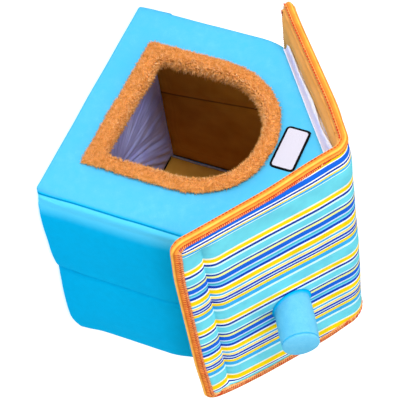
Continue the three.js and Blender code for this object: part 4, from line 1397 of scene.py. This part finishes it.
# %% [markdown]
# ## Label patch
# A blank white patch with a black sewn border sits over the doorway. A flat rectangle gets round corners
# from a vertex bevel, an inset makes the border, and an extrusion gives both their height.

# %% Label patch
LABEL_AT = Vector((-7, -180.3, 317)) * MM
LABEL_SIZE = (75 * MM, 37.4 * MM)
LABEL_CORNER = 7 * MM
LABEL_BORDER = 3.4 * MM
LABEL_THICK = 1.2 * MM
BORDER_RISE = 0.7 * MM
LABEL_EAR = {"at": Vector((-36, 17)) * MM, "reach": 7 * MM, "pull": 1.2 * MM}


def label_finishes():
    patch, tree, shader = start_finish("label_cloth", 0.6, gloss=0.3)
    place = own_place(tree)
    weave = grain(tree, place, 700, 2)
    tree.links.new(tones(tree, weave, (0.3, "BABACA"), (0.7, "CACADA")), shader.inputs["Base Color"])
    relief(tree, shader, weave, 0.0002, 0.3)
    border, tree, shader = start_finish("label_border", 0.8, gloss=0.1)
    place = own_place(tree)
    cord = add_node(tree, "TexWave", {"Vector": place, "Scale": 420}, bands_direction="DIAGONAL")
    tree.links.new(tones(tree, grain(tree, place, 500, 2), (0.3, "030304"), (0.7, "0C0C0E")),
                   shader.inputs["Base Color"])
    relief(tree, shader, cord.outputs["Fac"], 0.0004, 0.6)
    return patch, border


def sew_label():
    bm = bmesh.new()
    bmesh.ops.create_grid(bm, x_segments=1, y_segments=1, size=0.5)
    bmesh.ops.scale(bm, vec=(*LABEL_SIZE, 1), verts=bm.verts)
    bmesh.ops.bevel(bm, geom=bm.verts[:], offset=LABEL_CORNER, segments=5, profile=0.5,
                    affect="VERTICES", material=-1)
    base = bm.faces[:]
    lifted = bmesh.ops.extrude_face_region(bm, geom=base)["geom"]
    bmesh.ops.delete(bm, geom=base, context="FACES_ONLY")
    upper = [v for v in lifted if isinstance(v, bmesh.types.BMVert)]
    bmesh.ops.translate(bm, vec=(0, 0, LABEL_THICK), verts=upper)
    top = [f for f in lifted if isinstance(f, bmesh.types.BMFace)]
    rim = bmesh.ops.inset_region(bm, faces=top, thickness=LABEL_BORDER, depth=0)["faces"]
    for face in rim:
        face.material_index = 1
    raised = bmesh.ops.inset_region(bm, faces=rim, thickness=0.8 * MM, depth=BORDER_RISE)["faces"]
    for face in [*raised, *rim]:
        face.material_index = 1
    for face in bm.faces:
        if abs(face.normal.z) < 0.5 and face not in top:
            face.material_index = 1
    for vert in bm.verts:
        ear = max(0.0, 1 - (vert.co.xy - LABEL_EAR["at"]).length / LABEL_EAR["reach"])
        vert.co.y += LABEL_EAR["pull"] * ear * (1 if vert.co.x < -0.034 else -0.6)
        vert.co += Vector((lumps(vert.co, 0.012), lumps(vert.co, 0.012, 4.0), 0)) * 0.35 * MM
    bmesh.ops.holes_fill(bm, edges=[e for e in bm.edges if e.is_boundary])
    bmesh.ops.rotate(bm, cent=(0, 0, 0), matrix=Matrix.Rotation(math.radians(90), 3, "X"), verts=bm.verts)
    bmesh.ops.translate(bm, vec=LABEL_AT, verts=bm.verts)
    bmesh.ops.recalc_face_normals(bm, faces=bm.faces)
    return piece_from(bm, "label_patch_sewn")


label = sew_label()
label_cloth, label_border = label_finishes()
dress(label, label_cloth, "label_cloth", "label_patch")
label.data.materials.append(label_border)
label.data.shade_flat()

# %% [markdown]
# ## Fleece strands
# Fleece could be hair curves, but the house has to be a plain mesh in the end. Geometry nodes plant real
# strands: they scatter points over a mesh and set a small cone on each of them, leaning at random. Two
# values kept on the mesh say where strands grow and how long they are.

# %% Fleece strands
STRANDS = {"per_square_metre": 560000, "length": 4.4 * MM, "radius": 0.48 * MM, "seed": 5}


def strand_nodes():
    """Geometry nodes that scatter strands over a mesh."""
    tree = bpy.data.node_groups.new("fleece_strands", "GeometryNodeTree")
    tree.interface.new_socket("Geometry", in_out="INPUT", socket_type="NodeSocketGeometry")
    tree.interface.new_socket("Geometry", in_out="OUTPUT", socket_type="NodeSocketGeometry")

    def add(kind, sockets=None, **settings):
        return add_node(tree, kind, sockets, **settings)

    def kept(name):
        return add("GeometryNodeInputNamedAttribute", {"Name": name}, data_type="FLOAT").outputs[0]

    def times(a, b):
        return add("ShaderNodeMath", {0: a, 1: b}, operation="MULTIPLY").outputs[0]

    def chance(low, high, shift):
        return add("FunctionNodeRandomValue", {2: low, 3: high, "Seed": STRANDS["seed"] + shift}).outputs[1]

    start = add("NodeGroupInput").outputs["Geometry"]
    points = add("GeometryNodeDistributePointsOnFaces", {
        "Mesh": start, "Density": times(kept("pile"), STRANDS["per_square_metre"]), "Seed": STRANDS["seed"]})
    cone = add("GeometryNodeMeshCone", {
        "Vertices": 3, "Side Segments": 1, "Radius Top": 0.0, "Radius Bottom": STRANDS["radius"],
        "Depth": STRANDS["length"]})
    lean = add("FunctionNodeRandomValue", {
        "Min": (-1.05, -1.05, -3.1), "Max": (1.05, 1.05, 3.1), "Seed": STRANDS["seed"] + 1},
        data_type="FLOAT_VECTOR")
    turn = add("FunctionNodeRotateRotation", {
        "Rotation": points.outputs["Rotation"], "Rotate By": lean.outputs["Value"]}, rotation_space="LOCAL")
    plant = add("GeometryNodeInstanceOnPoints", {
        "Points": points.outputs["Points"], "Instance": cone.outputs["Mesh"],
        "Rotation": turn.outputs["Rotation"], "Scale": times(kept("shag"), chance(0.6, 1.2, 2))})
    store = add("GeometryNodeStoreNamedAttribute", {
        "Geometry": plant.outputs["Instances"], "Name": "strand", "Value": chance(0.0, 1.0, 3)},
        domain="INSTANCE")
    real = add("GeometryNodeRealizeInstances", {"Geometry": store.outputs["Geometry"]})
    join = add("GeometryNodeJoinGeometry", {"Geometry": start})
    tree.links.new(real.outputs["Geometry"], join.inputs["Geometry"])
    add("NodeGroupOutput", {"Geometry": join.outputs["Geometry"]})
    return tree


# %% [markdown]
# ## Fleece round the doorway
# The doorway is edged with a stuffed roll of orange fleece. The roll is filled like the walls, made lumpy,
# and planted with strands: none against the wall, and the longest ones round the inside of the doorway.

# %% Fleece round the doorway
DOOR_MIDDLE = Vector((-5, -180, 125)) * MM


def fleece_finish():
    material, tree, shader = start_finish("trim_fleece", 0.95, gloss=0.03)
    place = own_place(tree)
    strand = add_node(tree, "Attribute", attribute_name="strand").outputs["Fac"]
    tuft = grain(tree, place, 160, 3)
    tone = blend(tree, strand, 0.4, tuft, 0.6)
    colour = tones(tree, tone, (0.2, "CC863E"), (0.42, "F0A658"), (0.6, "FDBA74"), (0.85, "FFD8A8"))
    tree.links.new(colour, shader.inputs["Base Color"])
    relief(tree, shader, grain(tree, place, 600, 3), 0.0008, 0.5)
    return material


def lay_pile(piece):
    """Keeps where strands grow and how long they are there."""
    pile = piece.data.attributes.new("pile", "FLOAT", "POINT")
    shag = piece.data.attributes.new("shag", "FLOAT", "POINT")
    for i, vert in enumerate(piece.data.vertices):
        inward = (DOOR_MIDDLE - vert.co).normalized()
        inner = ease(0.25, 0.8, vert.normal.dot(Vector((inward.x, 0, inward.z))))
        left = 1 - ease(-0.09, 0.0, vert.co.x)
        pile.data[i].value = 1 - ease(0.3, 0.7, vert.normal.y)
        shag.data[i].value = 1 + (0.5 + 0.9 * left) * inner


def fleece_lumps(place, outward):
    return outward * (0.9 * lumps(place, 0.006) + 0.8 * lumps(place, 0.014, 3.0) - 0.8) * MM


trim = copy_solid("door_trim", "door_trim_fleece")
even_mesh(trim, 0.004)
fill(trim, "door_trim", 0.0015)
subdivide(trim)
sculpt(trim, fleece_lumps)
lay_pile(trim)
step = trim.modifiers.new("strands", "NODES")
step.node_group = strand_nodes()
keep_result(trim)
dress(trim, fleece_finish(), "trim_fleece", "door_trim")

# %% [markdown]
# ## Corner piping and floor gap shadow
# A thin piping runs up the inner corner between the left and the back lining: a white cord, painted grey as
# the shade in the corner. Where the floor cloth meets the back lining, a near-black tube is painted shadow
# in the gap between them. Each is a small tube, so a grid is rolled round its line, and both ends close to
# a point.

# %% Corner piping and floor gap shadow
PIPINGS = [
    # A white cord painted grey as shade in the corner.
    {"name": "corner_piping", "from": (-149.6, 149.6, 27), "to": (-149.6, 149.6, 258), "radius": 1.7,
     "finish": thread_finish("shaded_white_piping", "8E8A94", "B7B3BD")},
    # A near-black tube as painted shadow in the gap between floor and back lining.
    {"name": "floor_gap_shadow", "from": (-148, 148.6, 27.2), "to": (148, 148.6, 27.2), "radius": 2.3,
     "finish": thread_finish("gap_shadow", "0C0A0A", "1A1614")},
]


def piping_place(row):
    start, end = Vector(row["from"]) * MM, Vector(row["to"]) * MM
    turn = (end - start).to_track_quat("Z", "Y")

    def place(u, v):
        angle = 2 * math.pi * u
        line = start.lerp(end, v)
        radius = row["radius"] * MM * (0 if v in (0, 1) else 1 + 0.15 * lumps(line, 0.02))
        sway = 0.5 * MM * lumps(line, 0.05, 3.0)
        return line + turn @ Vector((sway + radius * math.cos(angle), sway + radius * math.sin(angle), 0))
    return place


for row in PIPINGS:
    piping = laid_grid(row["name"], 10, 70, piping_place(row))
    dress(piping, row["finish"], "brown_lining")

# %% [markdown]
# ## Floor and finish
# The floor is a stage and no part of the house.

# %% Floor and finish
def floor_finish():
    material, tree, shader = start_finish("studio_floor", 0.9)
    shade = tones(tree, grain(tree, own_place(tree), 3, 2), (0.3, "C4C4C6"), (0.7, "CACACC"))
    tree.links.new(shade, shader.inputs["Base Color"])
    shader.inputs["Emission Color"].default_value = (1, 1, 1, 1)
    shader.inputs["Emission Strength"].default_value = FLOOR_GLOW
    return material


bm = bmesh.new()
bmesh.ops.create_grid(bm, x_segments=1, y_segments=1, size=FLOOR_SIZE / 2)
bmesh.ops.translate(bm, vec=(0, 0, -0.0004), verts=bm.verts)
floor = piece_from(bm, "studio_floor")
floor.data.materials.append(floor_finish())
